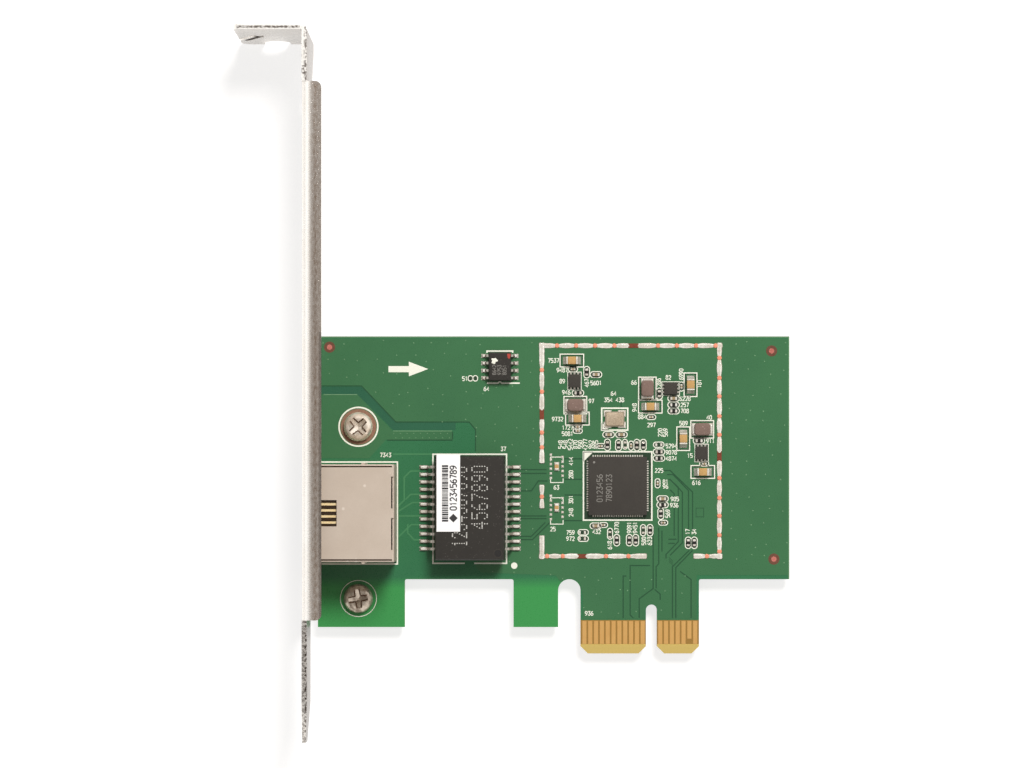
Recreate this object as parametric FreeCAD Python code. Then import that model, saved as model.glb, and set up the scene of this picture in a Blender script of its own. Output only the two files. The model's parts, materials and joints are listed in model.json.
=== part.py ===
import FreeCAD, Part
import math
import os
from FreeCAD import Vector

# Network interface card for a one-lane expansion slot, with a full-height bracket.  Millimetres.
#
# Origin: the middle of the key notch's mouth, on the board's lower edge, half way through the board.
# +X runs along the board away from the bracket, +Y up to the bracket's tab, +Z out of the side that
# carries the components.  The two families of value below are sizes of one piece, and clearances
# between two pieces; everything else is worked out from them.

# ---------------------------------------------------------------- circuit board
BOARD_THICKNESS = 1.57
BOARD_LENGTH = 80.85
BOARD_RIGHT = 23.65
BOARD_TOP = 54.4
SHOULDER_Y = 12.75
FOOT_Y = 4.55
FOOT_WIDTH = 14.9
HOOK_TAB_WIDTH = 7.65
NOTCH_CORNER_RADIUS = 0.35
HOOK_SLOT_WIDTH = 3.85
KEY_WIDTH = 1.9
KEY_DEPTH = 8.4
EDGE_CHAMFER = 1.25
BEVEL_HEIGHT = 1.5
BEVEL_DEPTH = 0.45

# ---------------------------------------------------------------- gold edge contacts
CONTACT_PITCH = 1.0
CONTACT_WIDTH = 0.7
CONTACT_LOW_Y = 1.65
CONTACT_HIGH_Y = 5.6
CONTACT_THICKNESS = 0.05
FIRST_CONTACT_X = 1.5
CONTACTS_LEFT = 11
CONTACTS_RIGHT = 7
SHORT_CONTACT_FRONT = 5
SHORT_CONTACT_CUT = 0.9
CONTACT_SIDE_MARGIN = 0.65

# ---------------------------------------------------------------- folded bracket
SHEET = 0.86
BEND_RADIUS = 0.24
BRACKET_HEIGHT = 120.02
BRACKET_WIDTH = 18.42
BRACKET_TIP_Y = -14.27
PLATE_TO_BOARD = 0.89
TAB_LENGTH = 11.43
TAB_OVERHANG = 0.6
TAB_CORNER_NEAR = 1.4
TAB_CORNER_FAR = 1.9
SCREW_NOTCH_WIDTH = 4.42
SCREW_NOTCH_DEPTH = 3.9
SCREW_NOTCH_FROM_PLATE = 5.25
TAB_SLIT_WIDTH = 1.0
TAB_SLIT_LENGTH = 4.6
TAB_SLIT_FROM_EDGE = 5.4
FLANGE_WIDTH = 3.27
FLANGE_LOW_Y = 6.3
FLANGE_HIGH_Y = 96.2
FLANGE_CORNER = 1.0
NECK_CUT_DEPTH = 4.4
NECK_TOP_DROP = 2.7
NECK_SLOPE_HEIGHT = 6.2
NECK_FLAT_HEIGHT = 0.6
TONGUE_WIDTH = 10.19
TONGUE_NOSE_LENGTH = 6.5
TONGUE_NOSE_INSET_FAR = 3.6
TONGUE_NOSE_INSET_NEAR = 1.8
TONGUE_NOSE_THINNING = 0.3
BODY_CORNER = 2.0
EAR_LENGTH = 12.2
EAR_WIDTH = 6.3
EAR_CORNER = 1.6
EAR_COLLAR_RADIUS = 2.1
EAR_COLLAR_HEIGHT = 0.7

# ---------------------------------------------------------------- bracket screws
SCREW_FROM_BOARD_EDGE = 6.95
SCREW_UPPER_Y = 38.9
SCREW_LOWER_Y = 9.45
SCREW_RADIUS = 1.45
SCREW_LENGTH = 3.4
SCREW_POINT = 0.35
HEAD_RADIUS = 2.55
HEAD_HEIGHT = 1.9
HEAD_RIM = 0.75
RECESS_WIDTH = 0.75
RECESS_LENGTH = 2.9
RECESS_DEPTH = 1.15
RECESS_WING_DEPTH = 0.45
HEAD_FLAT_RADIUS = 1.6
THREAD_CLEARANCE = 0.05
BOARD_HOLE_CLEARANCE = 0.15

# ---------------------------------------------------------------- network jack
JACK_Y = 24.15
JACK_WIDTH = 16.4
JACK_HEIGHT = 13.4
JACK_DEPTH = 15.3
JACK_OPENING_GAP = 0.25
SHIELD_SHEET = 0.25
SHIELD_BEND = 0.3
SHIELD_WINDOW_LENGTH = 3.7
SHIELD_WINDOW_WIDTH = 4.4
SHIELD_WINDOW_FROM_FRONT = 2.0
REAR_SLOT_LENGTH = 5.35
REAR_SLOT_WIDTH = 0.22
REAR_SLOT_DEPTH = 0.35
REAR_SLOT_SPACING = 6.95
NICK_FROM_BACK = 5.2
NICK_RADIUS = 0.3
RIM_WIDTH = 0.3
RIM_GROOVE_WIDTH = 0.16
RIM_GROOVE_DEPTH = 0.14
SPRING_SLIT = 0.2
SPRING_WIDTH = 1.8
SPRING_LENGTH = 4.6
LEG_WIDTH = 1.5
LEG_FROM_BACK = 7.0
LEG_REACH = 1.5
HOUSING_GAP = 0.05
PLUG_WIDTH = 11.9
PLUG_HEIGHT = 6.9
PLUG_DEPTH = 11.2
PLUG_FLOOR = 3.6
LATCH_WIDTH = 6.4
LATCH_HEIGHT = 1.7
LATCH_DEPTH = 9.4
POST_RADIUS = 1.55
POST_SPACING = 11.43
POST_FROM_BACK = 10.1
POST_REACH = 1.1
WIRE_COUNT = 8
WIRE_PITCH = 1.02
WIRE_WIDTH = 0.45
WIRE_THICKNESS = 0.3
WIRE_TO_SHIELD = 0.33
COMB_SLOT_WIDTH = 0.66
COMB_LENGTH = 6.2
COMB_FROM_FRONT = 1.7
WIRE_BEND = 0.45
WIRE_SLOPE_RUN = 5.2
WIRE_SLOPE_DROP = 3.6
WIRE_TIP_RUN = 0.7
WIRE_TIP_RISE = 0.1
WIRE_JOG = 2.4
WIRE_RECESS_DEPTH = 1.0
TAIL_PITCH = 1.27
TAIL_ROW_SPACING = 1.78
TAIL_ROW_FROM_BACK = 1.0
TAIL_REACH = 1.4
TAIL_POCKET_DEPTH = 3.2
TAIL_HOLE_RADIUS = 0.4
LEG_SLOT_CLEARANCE = 0.12
SOLDER_CONE_HEIGHT = 0.75
TAIL_CONE_RADIUS = 0.8
LEG_CONE_RADIUS = 1.25
CONE_TIP_SHARE = 0.4
CONE_SIDES = 8

# ---------------------------------------------------------------- magnetics module
MAGNETICS_X = -31.1
MAGNETICS_Y = 24.98
MAGNETICS_WIDTH = 12.1
MAGNETICS_LENGTH = 17.9
MAGNETICS_HEIGHT = 6.0
MAGNETICS_STANDOFF = 0.25
MAGNETICS_DRAFT = 0.3
MAGNETICS_SPAN = 17.1
LEADS_PER_SIDE = 12
LEAD_PITCH = 1.27
LEAD_WIDTH = 0.45
LEAD_THICKNESS = 0.25
LEAD_FOOT = 1.3
LEAD_SHOULDER = 0.55
DIMPLE_RADIUS = 0.65
DIMPLE_DEPTH = 0.15
DIMPLE_INSET_X = 1.25
DIMPLE_INSET_Y = 1.25
LABEL_WIDTH = 4.0
LABEL_LENGTH = 13.1
LABEL_THICKNESS = 0.08
LABEL_INSET = 0.15
LABEL_OVERHANG = 0.45

# ---------------------------------------------------------------- small packages
PAD_THICKNESS = 0.06
CONTROLLER_X = -5.8
CONTROLLER_Y = 28.75
CONTROLLER_SIDE = 10.0
CONTROLLER_HEIGHT = 0.85
CONTROLLER_CORNER = 0.3
CONTROLLER_PADS = 22
CONTROLLER_PAD_PITCH = 0.4
CONTROLLER_PAD_WIDTH = 0.22
CONTROLLER_PAD_REACH = 0.3
CONTROLLER_PAD_LENGTH = 0.7
MEMORY_X = -26.0
MEMORY_Y = 49.15
MEMORY_WIDTH = 3.9
MEMORY_LENGTH = 4.95
MEMORY_HEIGHT = 1.5
MEMORY_STANDOFF = 0.12
MEMORY_DRAFT = 0.15
MEMORY_SPAN = 6.1
MEMORY_PINS = 4
MEMORY_LEAD_FOOT = 0.65
MEMORY_LEAD_SHOULDER = 0.25
MEMORY_LEAD_THICKNESS = 0.2
MEMORY_LEAD_WIDTH = 0.42
CRYSTAL_X = -6.3
CRYSTAL_Y = 40.2
CRYSTAL_LENGTH = 3.3
CRYSTAL_WIDTH = 2.6
CRYSTAL_BASE_HEIGHT = 0.45
CRYSTAL_LID_HEIGHT = 0.3
CRYSTAL_LID_INSET = 0.18
CRYSTAL_PAD_LENGTH = 1.35
CRYSTAL_PAD_WIDTH = 1.1
CRYSTAL_PAD_REACH = 0.25
INDUCTOR_LENGTH = 2.75
INDUCTOR_WIDTH = 2.15
INDUCTOR_HEIGHT = 1.2
INDUCTOR_CHAMFER = 0.35
INDUCTOR_TERMINAL = 0.3
INDUCTOR_TERMINAL_HEIGHT = 0.55
POWER_CHIP_LENGTH = 2.2
POWER_CHIP_WIDTH = 2.0
POWER_CHIP_HEIGHT = 0.75
POWER_CHIP_PITCH = 0.62
POWER_CHIP_PAD_WIDTH = 0.32
POWER_CHIP_PAD_REACH = 0.35
POWER_CHIP_PAD_LENGTH = 0.6
CAPACITOR_LENGTH = 2.0
CAPACITOR_WIDTH = 1.3
CAPACITOR_HEIGHT = 1.0
CAPACITOR_END = 0.32
CAPACITOR_END_GROWTH = 0.03
FILLET_LENGTH = 0.55
FILLET_SHARE = 0.7
SMALL_LENGTH = 1.0
SMALL_WIDTH = 0.52
SMALL_END = 0.24
RESISTOR_HEIGHT = 0.35
SMALL_CAPACITOR_HEIGHT = 0.5
TINY_LENGTH = 0.6
TINY_WIDTH = 0.34
TINY_END = 0.15
TINY_HEIGHT = 0.28
SMALL_PAD_REACH = 0.12

# ---------------------------------------------------------------- fence of tinned strips
FENCE_LEFT = -19.3
FENCE_RIGHT = 12.15
FENCE_LOW = 16.2
FENCE_HIGH = 53.3
FENCE_WIDTH = 1.0
FENCE_THICKNESS = 0.12
FENCE_LEFT_GAPS = [(20.25, 24.9), (28.95, 32.65)]
FENCE_LOW_GAP = (-0.8, 7.2)

# ---------------------------------------------------------------- where the small parts sit
# Each place is the part's centre.  "Lying" parts have their length along X, "standing" ones along Y.
CAPACITORS_LYING = [(-13.65, 50.25), (-12.7, 40.3), (-0.2, 42.35), (8.8, 31.15)]
CAPACITORS_STANDING = [(6.7, 46.1), (5.45, 36.85)]
INDUCTORS = {"input": (-13.05, 42.6, False), "upper": (-0.7, 45.45, True), "output": (8.7, 38.45, False)}
POWER_CHIPS = {"input": (-13.2, 46.75, True), "upper": (3.3, 45.45, False), "output": (8.6, 34.4, True)}
RESISTORS_LYING = [
    (-12.6, 44.7), (3.8, 42.65), (3.8, 41.6), (8.15, 36.5), (1.3, 34.6), (1.3, 33.5), (1.9, 25.5),
]
RESISTORS_STANDING = [
    (-11.1, 48.25), (1.35, 44.55), (-7.55, 35.8), (-5.65, 35.75), (-2.5, 35.75), (-1.4, 35.75), (1.6, 24.0),
    (-0.25, 21.15), (-5.95, 19.45), (-3.8, 19.45), (-2.7, 19.45), (6.3, 19.0), (7.35, 19.0),
]
SMALL_CAPACITORS_LYING = [
    (-9.5, 47.85), (-7.35, 37.55), (-5.15, 37.55), (3.8, 43.75), (1.9, 26.55), (-9.55, 21.9),
]
TINY_PARTS_LYING = [
    (-13.45, 48.75), (-12.65, 38.9), (-12.65, 38.2), (-0.05, 40.55), (9.05, 32.55), (2.0, 22.45),
    (-8.75, 35.6), (-8.3, 22.05),
]
TINY_PARTS_STANDING = [(5.15, 45.8), (1.05, 29.2), (-3.5, 35.65)]
EMPTY_PADS_LYING = [(1.25, 35.8), (-11.85, 20.75), (-11.85, 19.7)]
EMPTY_PADS_STANDING = [(-4.5, 35.75), (-7.15, 20.4), (-1.4, 21.15)]
HEADER_X = -16.25
HEADER_YS = [32.1, 25.05]
HEADER_HALF_WIDTH = 1.0
HEADER_PITCH = 0.8
HEADER_PADS_LEFT = 6
HEADER_PADS_RIGHT = 5
HEADER_PAD_SIDE = 0.42
HEADER_MIDDLE_PAD = (0.85, 1.5)

# ---------------------------------------------------------------- worked-out places
BOARD_FRONT = BOARD_THICKNESS / 2
BOARD_BACK = -BOARD_THICKNESS / 2
BOARD_LEFT = BOARD_RIGHT - BOARD_LENGTH
TONGUE_LEFT = -(FIRST_CONTACT_X + (CONTACTS_LEFT - 1) * CONTACT_PITCH + CONTACT_SIDE_MARGIN)
TONGUE_RIGHT = FIRST_CONTACT_X + (CONTACTS_RIGHT - 1) * CONTACT_PITCH + CONTACT_SIDE_MARGIN
HOOK_SLOT_LEFT = TONGUE_LEFT - HOOK_SLOT_WIDTH
WIDE_NOTCH_LEFT = BOARD_LEFT + FOOT_WIDTH
WIDE_NOTCH_RIGHT = HOOK_SLOT_LEFT - HOOK_TAB_WIDTH
SCREW_X = BOARD_LEFT + SCREW_FROM_BOARD_EDGE
BEND_OUTER = BEND_RADIUS + SHEET
BEND_LEG = BEND_OUTER + SHEET / 2
PLATE_INNER_X = BOARD_LEFT - PLATE_TO_BOARD
PLATE_OUTER_X = PLATE_INNER_X - SHEET
PLATE_FAR_Z = BOARD_BACK - SHEET
PLATE_NEAR_Z = PLATE_FAR_Z + BRACKET_WIDTH
TAB_FAR_Z = PLATE_FAR_Z - TAB_OVERHANG
TAB_TOP_Y = BRACKET_TIP_Y + BRACKET_HEIGHT
TAB_END_X = PLATE_OUTER_X - TAB_LENGTH
EAR_HOLE_RADIUS = SCREW_RADIUS + THREAD_CLEARANCE
BOARD_HOLE_RADIUS = SCREW_RADIUS + BOARD_HOLE_CLEARANCE
JACK_FRONT_X = PLATE_OUTER_X
JACK_BACK_X = JACK_FRONT_X + JACK_DEPTH
JACK_TOP_Z = BOARD_FRONT + JACK_HEIGHT
POST_X = JACK_BACK_X - POST_FROM_BACK
LEG_X = JACK_BACK_X - LEG_FROM_BACK
LEG_Y_OFFSET = (JACK_WIDTH - SHIELD_SHEET) / 2
TAIL_ROW_X = [JACK_BACK_X - TAIL_ROW_FROM_BACK - TAIL_ROW_SPACING, JACK_BACK_X - TAIL_ROW_FROM_BACK]
WIRE_TOP_Z = JACK_TOP_Z - SHIELD_SHEET - WIRE_TO_SHIELD
SEAT_Z = BOARD_FRONT + PAD_THICKNESS
MARGIN = 1.0


# ================================================================ shape helpers
def block(x_range, y_range, z_range):
    """A box between two corners, given as (low, high) along each axis."""
    size = [high - low for low, high in (x_range, y_range, z_range)]
    return Part.makeBox(size[0], size[1], size[2], Vector(x_range[0], y_range[0], z_range[0]))


def around(centre, size):
    """The (low, high) range of a length centred on a value."""
    return (centre - size / 2, centre + size / 2)


def rod(x, y, radius, z_low, z_high):
    """An upright cylinder."""
    return Part.makeCylinder(radius, z_high - z_low, Vector(x, y, z_low))


def prism(points, sweep):
    """A flat polygon, given by its corners in space, swept along a vector."""
    wire = Part.makePolygon(points + [points[0]])
    return Part.Face(wire).extrude(sweep)


def prism_xy(points, z_low, z_high):
    return prism([Vector(x, y, z_low) for x, y in points], Vector(0, 0, z_high - z_low))


def prism_xz(points, y_low, y_high):
    return prism([Vector(x, y_low, z) for x, z in points], Vector(0, y_high - y_low, 0))


def prism_yz(points, x_low, x_high):
    return prism([Vector(x_low, y, z) for y, z in points], Vector(x_high - x_low, 0, 0))


def ribbon(points, thickness):
    """Corners of a strip of even thickness that follows a 2-D line, with mitred joins."""
    half = thickness / 2
    normals = []
    for (x0, y0), (x1, y1) in zip(points, points[1:]):
        length = math.hypot(x1 - x0, y1 - y0)
        normals.append(((y0 - y1) / length, (x1 - x0) / length))
    left = []
    right = []
    for index, (x, y) in enumerate(points):
        before = normals[max(index - 1, 0)]
        after = normals[min(index, len(normals) - 1)]
        scale = half / (1 + before[0] * after[0] + before[1] * after[1])
        shift = ((before[0] + after[0]) * scale, (before[1] + after[1]) * scale)
        left.append((x + shift[0], y + shift[1]))
        right.append((x - shift[0], y - shift[1]))
    return left + right[::-1]


def tapered_prism(low, high):
    """Solid between two flat outlines with as many corners, its sides flat."""
    sides = zip(low, low[1:] + low[:1], high[1:] + high[:1], high)
    outlines = [low, high] + [list(side) for side in sides]
    faces = [Part.Face(Part.makePolygon(corners + corners[:1])) for corners in outlines]
    return Part.makeSolid(Part.makeShell(faces))


def tapered_body(centre, size, z_range, draft):
    """A moulded block, widest half way up, that tapers by the draft to its top and bottom."""
    z_low, z_high = z_range
    sections = []
    for z, inset in ((z_low, draft), ((z_low + z_high) / 2, 0.0), (z_high, draft)):
        x0, x1 = around(centre[0], size[0] - 2 * inset)
        y0, y1 = around(centre[1], size[1] - 2 * inset)
        corners = [Vector(x0, y0, z), Vector(x1, y0, z), Vector(x1, y1, z), Vector(x0, y1, z)]
        sections.append(Part.makePolygon(corners + [corners[0]]))
    return Part.makeLoft(sections, True, True)


def edges_at(shape, axis, places, tolerance=0.01):
    """The straight edges parallel to an axis (0, 1 or 2) that pass through one of the places.

    A place is a pair: the two other coordinates, in X, Y, Z order.
    """
    others = [index for index in range(3) if index != axis]
    found = []
    for edge in shape.Edges:
        if len(edge.Vertexes) != 2:
            continue
        start, end = [vertex.Point for vertex in edge.Vertexes]
        if max(abs(start[index] - end[index]) for index in others) > tolerance:
            continue
        for place in places:
            if all(abs(start[index] - value) < tolerance for index, value in zip(others, place)):
                found.append(edge)
    return found


def bent_section(corner, first, second, first_length, second_length):
    """Face of an L of bracket sheet: two legs from an outer corner, joined by a round bend."""
    def at(u, v):
        return corner + first * u + second * v

    diagonal = math.sqrt(0.5)
    outer_middle = BEND_OUTER * (1 - diagonal)
    inner_middle = BEND_OUTER - BEND_RADIUS * diagonal
    outline = [
        Part.makeLine(at(0, BEND_OUTER), at(0, second_length)),
        Part.makeLine(at(0, second_length), at(SHEET, second_length)),
        Part.makeLine(at(SHEET, second_length), at(SHEET, BEND_OUTER)),
        Part.Arc(at(SHEET, BEND_OUTER), at(inner_middle, inner_middle), at(BEND_OUTER, SHEET)).toShape(),
        Part.makeLine(at(BEND_OUTER, SHEET), at(first_length, SHEET)),
        Part.makeLine(at(first_length, SHEET), at(first_length, 0)),
        Part.makeLine(at(first_length, 0), at(BEND_OUTER, 0)),
        Part.Arc(at(BEND_OUTER, 0), at(outer_middle, outer_middle), at(0, BEND_OUTER)).toShape(),
    ]
    return Part.Face(Part.Wire(outline))


def turned(shape, centre, standing):
    """The shape turned a quarter turn about an upright line through its centre, if it stands."""
    if standing:
        shape.rotate(Vector(centre[0], centre[1], 0), Vector(0, 0, 1), 90)
    return shape


# ================================================================ circuit board
def tail_places():
    """Centres of the jack's eight contact tails: two staggered rows."""
    first = JACK_Y - (WIRE_COUNT - 1) * TAIL_PITCH / 2
    return [(TAIL_ROW_X[index % 2], first + index * TAIL_PITCH) for index in range(WIRE_COUNT)]


def mirrored_y(offset):
    return [JACK_Y - offset, JACK_Y + offset]


def board_outline():
    return [
        (BOARD_LEFT, FOOT_Y), (WIDE_NOTCH_LEFT, FOOT_Y),
        (WIDE_NOTCH_LEFT, SHOULDER_Y), (WIDE_NOTCH_RIGHT, SHOULDER_Y),
        (WIDE_NOTCH_RIGHT, FOOT_Y), (HOOK_SLOT_LEFT, FOOT_Y),
        (HOOK_SLOT_LEFT, EDGE_CHAMFER), (TONGUE_LEFT, EDGE_CHAMFER),
        (TONGUE_LEFT + EDGE_CHAMFER, 0), (TONGUE_RIGHT - EDGE_CHAMFER, 0),
        (TONGUE_RIGHT, EDGE_CHAMFER), (TONGUE_RIGHT, SHOULDER_Y),
        (BOARD_RIGHT, SHOULDER_Y), (BOARD_RIGHT, BOARD_TOP), (BOARD_LEFT, BOARD_TOP),
    ]


def round_topped_slot(x_range, y_top):
    """Cutter for a slot that runs in from below and ends in a half circle."""
    radius = (x_range[1] - x_range[0]) / 2
    middle = (x_range[0] + x_range[1]) / 2
    through = (BOARD_BACK - MARGIN, BOARD_FRONT + MARGIN)
    straight = block(x_range, (-MARGIN, y_top - radius), through)
    return straight.fuse(rod(middle, y_top - radius, radius, through[0], through[1]))


def key_mouth():
    """Cutter that widens the key notch's mouth by a chamfer on each side."""
    low = KEY_WIDTH / 2 + EDGE_CHAMFER + MARGIN
    high = KEY_WIDTH / 2
    outline = [(-low, -MARGIN), (low, -MARGIN), (high, EDGE_CHAMFER), (-high, EDGE_CHAMFER)]
    return prism_xy(outline, BOARD_BACK - MARGIN, BOARD_FRONT + MARGIN)


def edge_bevel(side):
    """Cutter that bevels the connector edge on one face (side is +1 or -1)."""
    face = side * BOARD_FRONT
    profile = [
        (-MARGIN, face + side * MARGIN), (BEVEL_HEIGHT, face + side * MARGIN), (BEVEL_HEIGHT, face),
        (0, face - side * BEVEL_DEPTH), (-MARGIN, face - side * BEVEL_DEPTH),
    ]
    return prism_yz(profile, TONGUE_LEFT - MARGIN, TONGUE_RIGHT + MARGIN)


def circuit_board():
    board = prism_xy(board_outline(), BOARD_BACK, BOARD_FRONT)
    corners = [(WIDE_NOTCH_LEFT, SHOULDER_Y), (WIDE_NOTCH_RIGHT, SHOULDER_Y), (TONGUE_RIGHT, SHOULDER_Y)]
    board = board.makeFillet(NOTCH_CORNER_RADIUS, edges_at(board, 2, corners))
    cutters = [
        round_topped_slot((HOOK_SLOT_LEFT, TONGUE_LEFT), SHOULDER_Y),
        round_topped_slot(around(0, KEY_WIDTH), KEY_DEPTH),
        key_mouth(),
        edge_bevel(1),
        edge_bevel(-1),
    ]
    low = BOARD_BACK - MARGIN
    high = BOARD_FRONT + MARGIN
    cutters += [rod(SCREW_X, y, BOARD_HOLE_RADIUS, low, high) for y in (SCREW_UPPER_Y, SCREW_LOWER_Y)]
    cutters += [rod(x, y, TAIL_HOLE_RADIUS, low, high) for x, y in tail_places()]
    leg_x = around(LEG_X, LEG_WIDTH + 2 * LEG_SLOT_CLEARANCE)
    leg_slot = SHIELD_SHEET + 2 * LEG_SLOT_CLEARANCE
    cutters += [block(leg_x, around(y, leg_slot), (low, high)) for y in mirrored_y(LEG_Y_OFFSET)]
    post_hole = POST_RADIUS + BOARD_HOLE_CLEARANCE
    cutters += [rod(POST_X, y, post_hole, low, high) for y in mirrored_y(POST_SPACING / 2)]
    return board.cut(cutters)


def edge_contacts(side, short_index):
    """One row of gold contacts; side is +1 for the front face and -1 for the back."""
    if side > 0:
        z_range = (BOARD_FRONT, BOARD_FRONT + CONTACT_THICKNESS)
    else:
        z_range = (BOARD_BACK - CONTACT_THICKNESS, BOARD_BACK)
    left = [-FIRST_CONTACT_X - index * CONTACT_PITCH for index in range(CONTACTS_LEFT)]
    right = [FIRST_CONTACT_X + index * CONTACT_PITCH for index in range(CONTACTS_RIGHT)]
    contacts = []
    for x in left + right:
        low = CONTACT_LOW_Y
        if x == right[short_index]:
            low += SHORT_CONTACT_CUT
        contacts.append(block(around(x, CONTACT_WIDTH), (low, CONTACT_HIGH_Y), z_range))
    return contacts


# ================================================================ folded bracket
def far_edge_waste():
    """Cutter for the plate's solder-side outline: neck, body, shoulder and tongue."""
    neck_z = PLATE_FAR_Z + NECK_CUT_DEPTH
    neck_high = TAB_TOP_Y - NECK_TOP_DROP
    neck_low = neck_high - NECK_SLOPE_HEIGHT
    tongue_z = PLATE_NEAR_Z - TONGUE_WIDTH
    outside = TAB_FAR_Z - MARGIN
    below = BRACKET_TIP_Y - MARGIN
    outline = [
        (neck_high, outside), (neck_high, TAB_FAR_Z), (neck_low, neck_z),
        (neck_low - NECK_FLAT_HEIGHT, neck_z),
        (neck_low - NECK_FLAT_HEIGHT - NECK_CUT_DEPTH, PLATE_FAR_Z),
        (FLANGE_LOW_Y + BODY_CORNER, PLATE_FAR_Z), (FLANGE_LOW_Y, PLATE_FAR_Z + BODY_CORNER),
        (FLANGE_LOW_Y, tongue_z), (BRACKET_TIP_Y + TONGUE_NOSE_LENGTH, tongue_z),
        (BRACKET_TIP_Y, tongue_z + TONGUE_NOSE_INSET_FAR), (below, tongue_z + TONGUE_NOSE_INSET_FAR),
        (below, outside),
    ]
    return prism_yz(outline, PLATE_OUTER_X - MARGIN, PLATE_INNER_X + MARGIN)


def tongue_nose_waste():
    """Cutters that narrow and thin the tongue towards its tip."""
    top = BRACKET_TIP_Y + TONGUE_NOSE_LENGTH
    below = BRACKET_TIP_Y - MARGIN
    narrow = prism_yz([
        (top, PLATE_NEAR_Z), (BRACKET_TIP_Y, PLATE_NEAR_Z - TONGUE_NOSE_INSET_NEAR),
        (below, PLATE_NEAR_Z - TONGUE_NOSE_INSET_NEAR), (below, PLATE_NEAR_Z + MARGIN),
        (top, PLATE_NEAR_Z + MARGIN),
    ], PLATE_OUTER_X - MARGIN, PLATE_INNER_X + MARGIN)
    thin_outline = [
        (PLATE_INNER_X, top), (PLATE_INNER_X - TONGUE_NOSE_THINNING, BRACKET_TIP_Y),
        (PLATE_INNER_X - TONGUE_NOSE_THINNING, below), (PLATE_INNER_X + MARGIN, below),
        (PLATE_INNER_X + MARGIN, top),
    ]
    thin = prism_xy(thin_outline, TAB_FAR_Z - MARGIN, PLATE_NEAR_Z + MARGIN)
    return [narrow, thin]


def screw_notch():
    """Cutter for the U-shaped notch that the chassis screw goes through."""
    x = PLATE_OUTER_X - SCREW_NOTCH_FROM_PLATE
    radius = SCREW_NOTCH_WIDTH / 2
    centre_z = TAB_FAR_Z + SCREW_NOTCH_DEPTH - radius
    y_range = (TAB_TOP_Y - SHEET - MARGIN, TAB_TOP_Y + MARGIN)
    straight = block(around(x, SCREW_NOTCH_WIDTH), y_range, (TAB_FAR_Z - MARGIN, centre_z))
    height = y_range[1] - y_range[0]
    rounded = Part.makeCylinder(radius, height, Vector(x, y_range[0], centre_z), Vector(0, 1, 0))
    return straight.fuse(rounded)


def tab_slit():
    """Cutter for the slanting relief slit that runs in from the tab's free end."""
    y_range = (TAB_TOP_Y - SHEET - MARGIN, TAB_TOP_Y + MARGIN)
    start_z = TAB_FAR_Z + TAB_SLIT_FROM_EDGE
    slit = block((TAB_END_X - MARGIN, TAB_END_X + TAB_SLIT_LENGTH), y_range, around(start_z, TAB_SLIT_WIDTH))
    slit.rotate(Vector(TAB_END_X, 0, start_z), Vector(0, 1, 0), -45)
    return slit


def ear(y):
    """One ear, folded in behind the board, with a collar for the screw."""
    corner = Vector(PLATE_OUTER_X, y - EAR_WIDTH / 2, PLATE_FAR_Z)
    face = bent_section(corner, Vector(1, 0, 0), Vector(0, 0, 1), EAR_LENGTH, BEND_LEG)
    folded = face.extrude(Vector(0, EAR_WIDTH, 0))
    end_x = PLATE_OUTER_X + EAR_LENGTH
    corners = [(end_x, y - EAR_WIDTH / 2), (end_x, y + EAR_WIDTH / 2)]
    folded = folded.makeFillet(EAR_CORNER, edges_at(folded, 2, corners))
    collar = rod(SCREW_X, y, EAR_COLLAR_RADIUS, PLATE_FAR_Z - EAR_COLLAR_HEIGHT, PLATE_FAR_Z + SHEET)
    bore = rod(SCREW_X, y, EAR_HOLE_RADIUS, PLATE_FAR_Z - EAR_COLLAR_HEIGHT - MARGIN, BOARD_BACK + MARGIN)
    return folded.fuse(collar).cut(bore)


def flange():
    """The stiffening flange along the component-side edge."""
    corner = Vector(PLATE_OUTER_X, FLANGE_LOW_Y, PLATE_NEAR_Z)
    face = bent_section(corner, Vector(1, 0, 0), Vector(0, 0, -1), FLANGE_WIDTH, BEND_LEG)
    folded = face.extrude(Vector(0, FLANGE_HIGH_Y - FLANGE_LOW_Y, 0))
    end_x = PLATE_OUTER_X + FLANGE_WIDTH
    corners = [(end_x, FLANGE_LOW_Y), (end_x, FLANGE_HIGH_Y)]
    return folded.makeFillet(FLANGE_CORNER, edges_at(folded, 2, corners))


def jack_opening():
    """Cutter for the hole in the plate that the jack's mouth sits in."""
    width = JACK_WIDTH + 2 * JACK_OPENING_GAP
    z_range = (BOARD_FRONT - JACK_OPENING_GAP, JACK_TOP_Z + JACK_OPENING_GAP)
    opening = block((PLATE_OUTER_X - MARGIN, PLATE_INNER_X + MARGIN), around(JACK_Y, width), z_range)
    y_range = around(JACK_Y, width)
    corners = [(y, z) for y in y_range for z in z_range]
    return opening.makeFillet(SHIELD_BEND, edges_at(opening, 0, corners))


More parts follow.
